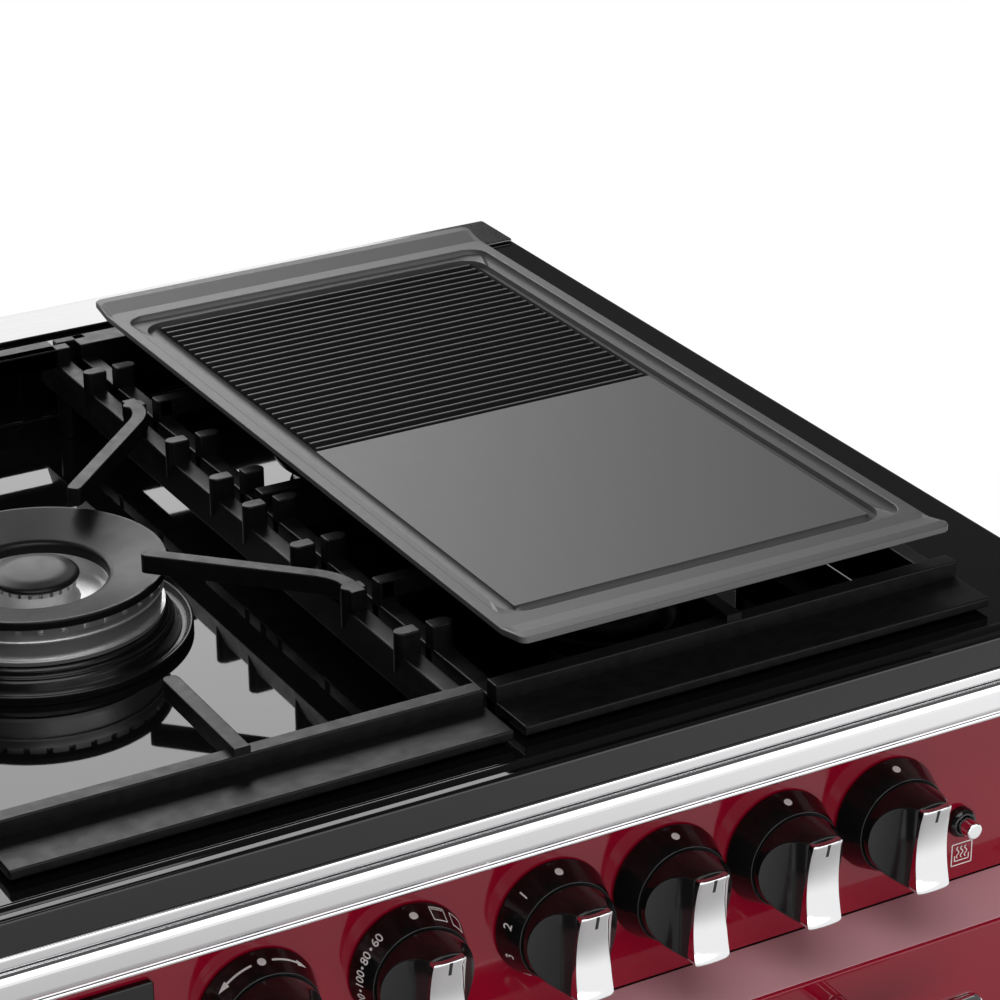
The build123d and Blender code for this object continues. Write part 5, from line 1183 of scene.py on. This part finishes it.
@dataclass
class Knob:
    """One control knob: a conical printed skirt, a body with two hollow cheeks and a bright dished grip."""

    number: int
    dial: Dial
    gap: float = 0.5 * MM
    skirt_radius: float = 30.5 * MM
    skirt_front: float = 25.6 * MM
    skirt_height: float = 15.5 * MM
    radius: float = 24.5 * MM
    reach: float = 39.0 * MM
    grip_half: float = 8.4 * MM
    grip_flare: float = 1.35 * MM
    grip_length: float = 46.0 * MM
    grip_height: float = 4.6 * MM
    grip_skirt: float = 5.5 * MM
    grip_dish: float = 3.4 * MM
    grip_crown: float = 0.7 * MM
    grip_end_drop: float = 0.8 * MM
    grip_edge_drop: float = 0.5 * MM
    grip_end_width: float = 0.9
    cheek_radius: float = 26.7 * MM
    cheek_lift: float = 6.0 * MM
    core: float = 4.0 * MM
    skirt_foot: float = 0.8 * MM
    skirt_step: float = 0.6 * MM
    body_corner: float = 0.9 * MM
    pointer_half: float = 0.9 * MM
    pointer_proud: float = 0.06 * MM
    print_height: float = 0.08 * MM
    dot_radius: float = 2.0 * MM
    arrow_line: float = 1.0 * MM
    arrow_band: tuple[float, float] = (5.0 * MM, 19.0 * MM)
    arrow_head: tuple[float, float] = (18.5 * MM, 24.0 * MM)
    arrow_widths: tuple[float, float] = (3.4 * MM, 0.15 * MM)
    small_dot: float = 0.7 * MM
    sign_half: float = 3.8 * MM
    oven_size: float = 6.0 * MM
    oven_figures: tuple[tuple[str, int], ...] = (
        ("60", -42), ("80", -62), ("100", -84), ("120", -109), ("150", -134), ("200", -159))
    oven_dots: tuple[int, ...] = (-52, -72, -96, -121, -146)
    oven_signs: tuple[tuple[int, bool], ...] = ((27, True), (51, False))
    step_size: float = 6.6 * MM
    step_count: int = 6
    step_start: int = -42
    step_turn: int = -34
    centre: tuple[float, float] = field(init=False)
    panel: float = field(init=False)

    def __post_init__(self) -> None:
        """Takes the knob's place from the frame."""
        self.centre = front_centre(f"knob_{self.number}")
        self.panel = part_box("control_panel")[0].y

    def front(self, rise: Array | float) -> Array:
        """The Y of a height above the panel."""
        return self.panel - np.asarray(rise, float)

    def moulding(self) -> bpy.types.Mesh:
        """The turned skirt, and the body as upright rounded rectangles along X.

        At each X the body reaches as high as the circle of its radius. Its front is flat between the
        cheeks, and on each cheek it follows a cylinder that hollows it out.

        Returns:
            The black moulding's mesh.
        """
        step = self.skirt_height - self.skirt_step
        outline = np.array([
            (self.core, self.gap), (self.skirt_radius - self.skirt_step, self.gap),
            (self.skirt_radius, self.gap + self.skirt_foot), (self.skirt_front, self.skirt_height),
            (self.radius + 0.5 * MM, self.skirt_height), (self.radius + 0.4 * MM, step), (self.core, step)])
        profile = soften(outline, 0.4 * MM)
        profile[:, 1] = self.front(profile[:, 1])
        skirt = lathe(profile, self.centre, Axis.Y, 96)
        side = self.grip_half + math.sqrt(self.cheek_radius ** 2 - self.cheek_lift ** 2)
        turn = np.linspace(-1, 1, 61)
        x = self.radius * np.sin(turn * math.pi / 2) * 0.999
        hollow = np.sqrt(self.cheek_radius ** 2 - np.clip(side - np.abs(x), 0, self.cheek_radius) ** 2)
        top = np.minimum(self.reach, self.reach + self.cheek_lift - hollow)
        half = np.sqrt(self.radius ** 2 - x ** 2)
        low = np.full_like(x, self.front(self.skirt_height - 2 * MM))
        boxes = np.stack([self.front(top), low, self.centre[1] - half, self.centre[1] + half], axis=1)
        body = Axis.X.stack(rounded_rects(boxes, np.full_like(x, self.body_corner), 3), x + self.centre[0])
        return Shell().loft(skirt).loft(body).mesh(f"knob_{self.number}_moulding", 32)

    def grip_front(self, v: Array) -> Array:
        """The dished front's height at a distance along the grip: lowest in the middle, as a parabola."""
        share = 2 * v / self.grip_length
        return self.reach + self.grip_height - self.grip_dish * (1 - share ** 2)

    def grip(self) -> bpy.types.Mesh:
        """Sections along Z with a crowned front, a little wider towards the foot.

        Each section runs up one side, across the front as a flat arc and down the other side. The front
        line is dished along the grip, and the sections shrink towards both ends as an ellipse does.

        Returns:
            The grip's mesh.
        """
        turn = np.radians(np.linspace(-88, 88, 45))
        v = self.grip_length / 2 * np.sin(turn)
        round_off = np.sqrt(np.clip(1 - np.abs(np.sin(turn)) ** 24, 0, 1))
        half = (self.grip_half + self.grip_flare * (0.5 - v / self.grip_length))
        half *= self.grip_end_width + (1 - self.grip_end_width) * round_off
        front = self.grip_front(v) - self.grip_end_drop * (1 - round_off)
        back = self.reach - self.grip_skirt
        share = np.linspace(-1, 1, 13)
        crown = self.grip_crown * (1 - share ** 2) - self.grip_edge_drop * np.abs(share) ** 16
        across = np.concatenate([[-1], share, [1]])
        x = self.centre[0] + half[:, None] * across[None, :]
        rise = np.concatenate([np.full((len(v), 1), back), front[:, None] + crown[None, :] - self.grip_crown,
                               np.full((len(v), 1), back)], axis=1)
        rings = Axis.Z.stack(np.stack([x, self.front(rise)], axis=-1), v + self.centre[1])
        return Shell().loft(rings).mesh(f"knob_{self.number}_grip", 40)

    def pointer(self) -> bpy.types.Mesh:
        """A thin black line inlaid in the upper end of the grip's front."""
        v = np.linspace(0.33, 0.488, 9) * self.grip_length
        half = np.full_like(v, self.pointer_half)
        front = self.grip_front(v) + self.pointer_proud
        boxes = np.stack([self.centre[0] - half, self.centre[0] + half,
                          self.front(front), self.front(front - MM)], axis=1)
        rings = Axis.Z.stack(rounded_rects(boxes, 0.2 * MM, 2), v + self.centre[1])
        return Shell().loft(rings).mesh(f"knob_{self.number}_pointer")

    def on_skirt(self, points: Array, turn: float) -> Array:
        """Wraps flat (along, up, rise) points round the skirt's cone.

        Along goes clockwise as an angle, up goes towards the panel, and rise stands off the cone.

        Args:
            points: The flat points.
            turn: The clockwise angle from the top, in degrees, at which along is nothing.

        Returns:
            Points in the part frame.
        """
        along, up, rise = np.moveaxis(points, -1, 0)
        height = self.skirt_height / 2 - up
        start = self.gap + self.skirt_foot
        slope = (self.skirt_radius - self.skirt_front) / (self.skirt_height - start)
        radius = self.skirt_radius - slope * (height - start) + rise
        angle = math.radians(turn) + along / (self.skirt_radius - slope * self.skirt_height / 2)
        return np.stack([self.centre[0] + radius * np.sin(angle), self.front(height),
                         self.centre[1] + radius * np.cos(angle)], axis=-1)

    def arc_arrow(self, shell: Shell, sign: int) -> None:
        """A curved arrow beside the dot: a band, and a head that tapers to a point.

        Args:
            shell: Where the arrow goes.
            sign: 1 for the clockwise arrow, -1 for the other.
        """
        along = sign * np.linspace(*self.arrow_band, 15)
        path = np.stack([along, np.zeros_like(along)], axis=1)
        shell.loft(self.on_skirt(ribbon(path, self.arrow_line, self.print_height), 0))
        along = sign * np.linspace(*self.arrow_head, 8)
        head = ribbon(np.stack([along, np.zeros_like(along)], axis=1), 1.0, self.print_height)
        head[..., 1] *= np.linspace(*self.arrow_widths, 8)[:, None]
        shell.loft(self.on_skirt(head, 0))

    def oven_sign(self, shell: Shell, turn: float, waves: bool) -> None:
        """A square outline, with a zigzag under its top where asked.

        Args:
            shell: Where the sign goes.
            turn: Its clockwise angle from the top, in degrees.
            waves: Whether it has the zigzag.
        """
        half = self.sign_half
        corners = np.array([(-half, -half), (half, -half), (half, half), (-half, half), (-half, -half)])
        for start, end in zip(corners[:-1], corners[1:]):
            path = np.linspace(start, end, 5)
            shell.loft(self.on_skirt(ribbon(path, 0.5 * MM, self.print_height), turn))
        if waves:
            along = np.linspace(-0.8, 0.8, 33)
            up = 0.62 + 0.16 * np.abs((along * 5) % 2 - 1)
            zigzag = ribbon(np.stack([along, up], axis=1) * half, 0.4 * MM, self.print_height)
            shell.loft(self.on_skirt(zigzag, turn))

    def words(self, text: str, size: float) -> tuple[Array, list[list[int]]]:
        """Figures as a thin solid, centred on their own middle, with the seams welded.

        Args:
            text: The figures.
            size: Their size.

        Returns:
            The points and the faces.
        """
        curve = bpy.data.curves.new("figures", "FONT")
        curve.body = text
        curve.size = size
        curve.align_x = "CENTER"
        curve.align_y = "CENTER"
        curve.extrude = self.print_height
        curve.offset = 0.05 * MM
        holder = bpy.data.objects.new("figures", curve)
        bpy.context.scene.collection.objects.link(holder)
        made = bpy.data.meshes.new_from_object(holder.evaluated_get(bpy.context.evaluated_depsgraph_get()))
        points = np.empty(len(made.vertices) * 3)
        made.vertices.foreach_get("co", points)
        faces = [list(face.vertices) for face in made.polygons]
        bpy.data.objects.remove(holder)
        bpy.data.meshes.remove(made)
        points = points.reshape(-1, 3)
        grid = np.round(points / (0.002 * MM)).astype(int)
        _, kept, welded = np.unique(grid, axis=0, return_index=True, return_inverse=True)
        faces = [welded.ravel()[face].tolist() for face in faces]
        return points[kept], [face for face in faces if len(set(face)) == len(face)]

    def add_words(self, shell: Shell, text: str, turn: float, size: float) -> None:
        """Prints figures on the skirt.

        Args:
            shell: Where they go.
            text: The figures.
            turn: Their clockwise angle from the top, in degrees.
            size: Their size.
        """
        points, faces = self.words(text, size)
        shell.faces += [[i + shell.count for i in face] for face in faces]
        shell.points.append(self.on_skirt(points, turn))
        shell.count += len(points)

    def prints(self) -> bpy.types.Mesh:
        """The white marks: a dot at the top, and what the dial needs.

        Returns:
            The marks' mesh.
        """
        shell = Shell()
        shell.loft(self.on_skirt(disc(self.dot_radius, self.print_height), 0))
        if self.dial is Dial.ARROWS:
            self.arc_arrow(shell, -1)
            self.arc_arrow(shell, 1)
        if self.dial is Dial.OVEN:
            for text, turn in self.oven_figures:
                self.add_words(shell, text, turn, self.oven_size)
            for turn in self.oven_dots:
                shell.loft(self.on_skirt(disc(self.small_dot, self.print_height, 14), turn))
            for turn, waves in self.oven_signs:
                self.oven_sign(shell, turn, waves)
        if self.dial is Dial.STEPS:
            for i in range(self.step_count):
                self.add_words(shell, str(i + 1), self.step_start + self.step_turn * i, self.step_size)
        return shell.mesh(f"knob_{self.number}_prints")

    def dress(self) -> None:
        """Adds the moulding, the grip, its pointer and the print."""
        body = f"knob_{self.number}"
        add_piece(f"{body}_moulding", self.moulding(), body, KNOB_BLACK, body)
        add_piece(f"{body}_grip", self.grip(), body, CHROME)
        add_piece(f"{body}_pointer", self.pointer(), body, KNOB_BLACK)
        add_piece(f"{body}_prints", self.prints(), body, WHITE_PRINT)


@dataclass
class ControlPanel:
    """The red panel's prints, the clock's face and the push button."""

    tick_top: float = 14.7 * MM
    tick_length: float = 4.0 * MM
    tick_width: float = 1.6 * MM
    icon_half: float = 6.2 * MM
    icon_drop: float = 20.3 * MM
    icon_shift: float = 3.2 * MM
    icon_line: float = 0.6 * MM
    wave_line: float = 0.55 * MM
    print_height: float = 0.08 * MM
    pin_core: float = 0.8 * MM
    bezel_radius: float = 8.0 * MM
    bezel_gap: float = 0.3 * MM
    bezel_sunk: float = 1.0 * MM
    clock_sunk: float = 0.5 * MM
    clock_corner: float = 2.0 * MM
    clock_edge: float = 0.9 * MM
    dials: tuple[Dial, ...] = (Dial.ARROWS, Dial.OVEN, Dial.STEPS, *(Dial.GAS,) * 5)

    def on_panel(self, points: Array, x: float, z: float) -> Array:
        """Puts flat (along, up, rise) points on the panel's face about a place."""
        along, up, rise = np.moveaxis(points, -1, 0)
        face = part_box("control_panel")[0].y
        return np.stack([x + along, face - rise, z + up], axis=-1)

    def prints(self, knobs: list[Knob]) -> bpy.types.Mesh:
        """A tick above each knob, and a sign of a dish with three waves of heat below the button.

        Args:
            knobs: The knobs that have a tick.

        Returns:
            The prints' mesh.
        """
        shell = Shell()
        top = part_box("control_panel")[1].z - self.tick_top
        for knob in knobs:
            path = np.array([(0, -self.tick_length), (0, -self.tick_length / 2), (0, 0)])
            shell.loft(self.on_panel(ribbon(path, self.tick_width, self.print_height), knob.centre[0], top))
        x, z = front_centre("push_button")
        x += self.icon_shift
        z -= self.icon_drop
        half = self.icon_half
        square = np.array([(-1, -1), (1, -1), (1, 1), (-1, 1), (-1, -1)]) * half
        tray = np.array([(-0.7, -0.1), (-0.7, -0.6), (0.7, -0.6), (0.7, -0.1)]) * half
        for line in (square, tray):
            for start, end in zip(line[:-1], line[1:]):
                path = np.linspace(start, end, 3)
                shell.loft(self.on_panel(ribbon(path, self.icon_line, self.print_height), x, z))
        rise = np.linspace(-0.35, 0.7, 25)
        for shift in (-0.4, 0, 0.4):
            wave = np.stack([shift + 0.12 * np.sin(rise * 9), rise], axis=1) * half
            shell.loft(self.on_panel(ribbon(wave, self.wave_line, self.print_height), x, z))
        return shell.mesh("panel_prints")

    def button(self) -> tuple[bpy.types.Mesh, bpy.types.Mesh]:
        """The turned button and its turned bezel, a ring round the button.

        Returns:
            The button's mesh and the bezel's mesh.
        """
        low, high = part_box("push_button")
        centre = front_centre("push_button")
        radius = (high.x - low.x) / 2
        outline = np.array([(self.pin_core, high.y), (radius, high.y), (radius, low.y + 0.4 * MM),
                            (radius - 0.6 * MM, low.y), (self.pin_core, low.y)])
        pin = Shell().loft(lathe(soften(outline, 0.5 * MM), centre, Axis.Y, 40)).mesh("push_button_pin")
        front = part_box("button_bezel")[0].y
        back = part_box("control_panel")[0].y + self.bezel_sunk
        outer = self.bezel_radius
        bore = radius + self.bezel_gap
        middle = (bore + outer) / 2
        outline = np.array([
            (middle, back), (outer, back), (outer, front + 2.0 * MM), (outer - 1.6 * MM, front),
            (bore + 0.5 * MM, front), (bore, front + 0.6 * MM), (bore, back), (middle, back)])
        rings = lathe(soften(outline, 0.8 * MM)[:-1], centre, Axis.Y, 48)
        ring = Shell().loft(rings, True).mesh("push_button_bezel")
        return pin, ring

    def dress(self) -> None:
        """Adds the knobs, the prints, the clock's face and the button."""
        knobs = [Knob(i + 1, dial) for i, dial in enumerate(self.dials)]
        for knob in knobs:
            knob.dress()
        dress_node("control_panel", RED_ENAMEL)
        add_piece("panel_prints", self.prints(knobs), ROOT, WHITE_PRINT)
        pin, ring = self.button()
        add_piece("push_button_pin", pin, "push_button", CHROME, "push_button")
        add_piece("push_button_bezel", ring, ROOT, KNOB_BLACK, "button_bezel")
        low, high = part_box("clock_display")
        run = (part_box("control_panel")[0].y + self.clock_sunk, low.y)
        plate = slab((low.x, high.x, low.z, high.z), run, self.clock_corner, self.clock_edge, Axis.Y)
        add_piece("clock_face", Shell().loft(plate).mesh("clock_face"), ROOT, DISPLAY_GLASS, "clock_display")


@dataclass
class Doors:
    """The enamelled fronts and their bar handles."""

    edge: float = 1.6 * MM
    corner: float = 2.0 * MM
    ledge_rise: float = 7.4 * MM
    bar_radius: float = 6.8 * MM
    bar_depth: float = 15.0 * MM
    post_radius: float = 6.0 * MM
    post_inset: float = 60.0 * MM
    post_core: float = 2.0 * MM
    back_edge: float = 0.4 * MM
    ledge_bend: float = 0.3 * MM
    panel_gap: float = 0.5 * MM
    fronts: tuple[tuple[str, str], ...] = (
        ("main_door", "skin"), ("tall_door", "skin"), ("grill_door", "skin"), ("drawer", "front"))

    def front(self, node: str) -> bpy.types.Mesh:
        """A plate along Y whose front edge is a quarter round.

        Args:
            node: The node that gives its size.

        Returns:
            The front's mesh.
        """
        low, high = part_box(node)
        turn = np.radians(np.linspace(0, 90, 7))
        inset = np.concatenate([[self.back_edge, 0, 0], self.edge * (1 - np.cos(turn))])
        places = np.concatenate([[high.y, high.y - self.back_edge, low.y + self.edge + 2 * MM],
                                 low.y + self.edge * (1 - np.sin(turn))])
        boxes = np.array([low.x, high.x, low.z, high.z]) + inset[:, None] * INWARD
        rings = Axis.Y.stack(rounded_rects(boxes, np.maximum(self.corner - inset, 0.5 * MM)), places)
        return Shell().loft(rings).mesh(f"{node}_front")

    def ledge(self, node: str) -> bpy.types.Mesh:
        """The top of a front: a wedge that rises towards the back, as one section carried along X.

        Args:
            node: The node that gives its size.

        Returns:
            The ledge's mesh.
        """
        low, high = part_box(node)
        start, end = low.y + self.edge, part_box("control_panel")[0].y - self.panel_gap
        foot = high.z - self.edge
        middle = ((start + end) / 2, foot)
        corners = [middle, (start, foot), (start, high.z + self.ledge_bend),
                   (end, high.z + self.ledge_rise), (end, foot), middle]
        ring = soften(np.array(corners), self.ledge_bend)[:-1]
        rings = extrusion(ring, (low.x + self.corner, high.x - self.corner), Axis.X)
        return Shell().loft(rings).mesh(f"{node}_ledge")

    def handle(self, node: str) -> bpy.types.Mesh:
        """A rounded bar along X with domed ends, on two turned posts.

        Towards each end the bar's section shrinks as the quarter of an ellipse.

        Args:
            node: The node that gives its size.

        Returns:
            The handle's mesh.
        """
        low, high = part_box(node)
        half = (high.x - low.x) / 2
        middle, height = front_centre(node)
        turn = np.radians(np.linspace(0, 86, 10))
        dome = self.bar_radius
        away = half - dome + dome * np.sin(turn)
        shrink = dome * (1 - np.cos(turn))
        stations = np.concatenate([-away[::-1], away]) + middle
        shrink = np.concatenate([shrink[::-1], shrink])
        boxes = np.array([low.y, low.y + self.bar_depth, low.z, high.z]) + shrink[:, None] * INWARD
        rings = rounded_rects(boxes, np.full_like(shrink, self.bar_radius), 8)
        shell = Shell().loft(Axis.X.stack(rings, stations))
        end = low.y + self.bar_depth / 2
        outline = np.array([(self.post_core, high.y), (self.post_radius, high.y), (self.post_radius, end),
                            (self.post_core, end)])
        for side in (-1, 1):
            centre = (middle + side * (half - self.post_inset), height)
            shell.loft(lathe(soften(outline, 1.5 * MM), centre, Axis.Y, 40))
        return shell.mesh(f"{node}_bar")

    def dress(self) -> None:
        """Adds the fronts, their ledges and the handles, and dresses the panels behind them."""
        for body, part in self.fronts:
            skin = f"{body}_{part}"
            handle = f"{body}_handle"
            add_piece(f"{skin}_enamelled", self.front(skin), body, RED_ENAMEL, skin)
            # Each ledge carries a painted highlight: a pale pink copy of the red enamel in place of the light
            # it reflects.
            add_piece(f"{skin}_ledge", self.ledge(skin), body, LEDGE_PAINTED_HIGHLIGHT)
            add_piece(f"{handle}_bar", self.handle(handle), body, CHROME, handle)
        for node in ("main_door_inner", "tall_door_inner", "grill_door_inner"):
            dress_node(node, OVEN_ENAMEL)
        dress_node("drawer_box", ZINC_STEEL)


@dataclass
class Carcass:
    """What keeps its frame solid: panels, ovens, shelves, fans, feet and connections."""

    finishes: tuple[tuple[Finish, tuple[str, ...]], ...] = (
        (BLACK_ENAMEL, ("side_panels", "plinth", "front_frame")),
        (ZINC_STEEL, ("back_panel", "base_frame", "levelling_feet", "door_hinges", "fan_motors",
                      "drawer_runners", "gas_rail", "main_oven_fan", "tall_oven_fan")),
        (OVEN_ENAMEL, ("main_oven_liner", "tall_oven_liner", "grill_liner", "grill_pan", "fan_covers")),
        (CHROME, ("oven_shelves",)),
        (ELEMENT_STEEL, ("heating_elements",)),
        (SEAL_RUBBER, ("door_seals",)),
        (BRASS, ("control_valves", "gas_inlet")),
        (GREY_PLASTIC, ("terminal_box",)),
        (CERAMIC, ("spark_electrodes",)),
    )

    def dress(self) -> None:
        """Gives each node its finish."""
        for finish, nodes in self.finishes:
            for node in nodes:
                dress_node(node, finish)


def hold(name: str, data: bpy.types.ID, place: Array, right: Array, up: Array) -> bpy.types.Object:
    """Adds an object at a place, turned so that its X axis runs right and its Y axis up.

    Args:
        name: The object's name.
        data: Its lamp or lens.
        place: Where it stands.
        right: The direction of its X axis.
        up: The direction of its Y axis.

    Returns:
        The new object.
    """
    holder = bpy.data.objects.new(name, data)
    bpy.context.scene.collection.objects.link(holder)
    turned = np.eye(4)
    turned[:3, :3] = np.stack([right, up, np.cross(right, up)], axis=1)
    turned[:3, 3] = place
    holder.matrix_world = Matrix(turned.tolist())
    return holder


@dataclass
class Softbox:
    """One rectangular lamp that points at a spot, with the brightness of its face."""

    name: str
    place: tuple[float, float, float]
    target: tuple[float, float, float]
    size: tuple[float, float]
    radiance: float

    def build(self) -> None:
        """Adds the lamp: its -Z axis runs from its place to the target."""
        lamp = bpy.data.lights.new(self.name, "AREA")
        lamp.shape = "RECTANGLE"
        lamp.size, lamp.size_y = self.size
        lamp.energy = self.radiance * math.pi * self.size[0] * self.size[1]
        back = np.array(self.place) - np.array(self.target)
        back /= np.linalg.norm(back)
        right = np.cross((0, 0, 1), back)
        right /= np.linalg.norm(right)
        hold(self.name, lamp, np.array(self.place), right, np.cross(back, right))


@dataclass
class Studio:
    """The pale floor, the soft light and the camera."""

    fill: float = 0.10
    floor_half: float = 30.0
    floor_color: tuple[float, ...] = (0.80, 0.80, 0.80, 1)
    floor_roughness: float = 0.8
    white_from: float = 1.1
    white_to: float = 2.1
    lens: float = 121.34
    sensor: float = 36.0
    sight: float = 100.0
    eye: tuple[float, float, float] = (-0.5472, -1.4348, 1.6517)
    right: tuple[float, float, float] = (0.8686, -0.4955, -0.0044)
    up: tuple[float, float, float] = (0.2116, 0.3629, 0.9075)
    softboxes: tuple[Softbox, ...] = (
        Softbox("back_softbox", (0.4, 2.7, 2.5), (0.3, 0.0, 0.9), (2.7, 1.9), 3.4),
        Softbox("overhead_softbox", (-0.4, -1.4, 3.4), (0, -0.3, 0.9), (2.6, 1.6), 2.6),
        Softbox("front_softbox", (0.8, -4.5, 1.3), (0, 0, 0.8), (6.5, 2.6), 1.7),
    )

    def seen(self, tree: bpy.types.NodeTree, mirrored: bool) -> bpy.types.NodeSocket:
        """One for what the camera sees straight, and in mirrors where asked, and nothing for the rest.

        Args:
            tree: The tree that gets the nodes.
            mirrored: Whether mirror images count too.

        Returns:
            The socket with that value.
        """
        path = tree.nodes.new("ShaderNodeLightPath")
        if not mirrored:
            return path.outputs["Is Camera Ray"]
        both = {0: path.outputs["Is Camera Ray"], 1: path.outputs["Is Glossy Ray"]}
        return add_node(tree, "ShaderNodeMath", both, operation="MAXIMUM").outputs[0]

    def world(self) -> None:
        """A white surround for what is seen, and a weaker fill for the light that it gives."""
        made = bpy.data.worlds.new("studio")
        bpy.context.scene.world = made
        made.use_nodes = True
        tree = made.node_tree
        weak = tree.nodes["Background"]
        feed(tree, weak, {"Strength": self.fill, "Color": WHITE})
        white = add_node(tree, "ShaderNodeBackground", {"Color": WHITE})
        mix = add_node(tree, "ShaderNodeMixShader",
                       {0: self.seen(tree, False), 1: weak.outputs[0], 2: white.outputs[0]})
        feed(tree, tree.nodes["World Output"], {"Surface": mix.outputs[0]})

    def floor(self) -> None:
        """A plain floor that takes the shadow near the cooker and runs out to white."""
        made = bpy.data.meshes.new("floor")
        half = self.floor_half
        corners = [(-half, -half, 0), (half, -half, 0), (half, half, 0), (-half, half, 0)]
        made.from_pydata(corners, [], [(0, 1, 2, 3)])
        holder = bpy.data.objects.new("floor", made)
        bpy.context.scene.collection.objects.link(holder)
        paint = bpy.data.materials.new("pale_floor")
        paint.use_nodes = True
        tree = paint.node_tree
        shader = tree.nodes["Principled BSDF"]
        feed(tree, shader, {"Base Color": self.floor_color, "Roughness": self.floor_roughness})
        white = add_node(tree, "ShaderNodeEmission", {"Color": WHITE})
        place = tree.nodes.new("ShaderNodeTexCoord")
        away = add_node(tree, "ShaderNodeVectorMath", {0: place.outputs["Object"]}, operation="LENGTH")
        limits = {"Value": away.outputs["Value"], "From Min": self.white_from, "From Max": self.white_to}
        fade = add_node(tree, "ShaderNodeMapRange", limits, interpolation_type="SMOOTHSTEP")
        share = add_node(tree, "ShaderNodeMath", {0: fade.outputs["Result"], 1: self.seen(tree, True)},
                         operation="MULTIPLY")
        mix = add_node(tree, "ShaderNodeMixShader",
                       {0: share.outputs[0], 1: shader.outputs[0], 2: white.outputs[0]})
        feed(tree, tree.nodes["Material Output"], {"Surface": mix.outputs[0]})
        made.materials.append(paint)

    def camera(self) -> None:
        """The camera at the photograph's place, from its right and up directions."""
        lens = bpy.data.cameras.new("photo_camera")
        lens.lens = self.lens
        lens.sensor_width = self.sensor
        lens.clip_end = self.sight
        eye, right, up = np.array([self.eye, self.right, self.up])
        bpy.context.scene.camera = hold("photo_camera", lens, eye, right, up)

    def build(self) -> None:
        """Adds the surround, the floor, the lamps and the camera."""
        bpy.context.scene.view_settings.view_transform = "Standard"
        self.world()
        self.floor()
        for softbox in self.softboxes:
            softbox.build()
        self.camera()


def main() -> None:
    """Builds each sub-assembly and the studio."""
    logging.basicConfig(level=logging.INFO)
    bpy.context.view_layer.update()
    for assembly in (HobTop, PanSupports, Burners, Griddle, TrimRail, ControlPanel, Doors, Carcass):
        LOG.info("building %s", assembly.__name__)
        assembly().dress()
    Studio().build()


if __name__ == "__main__":
    main()
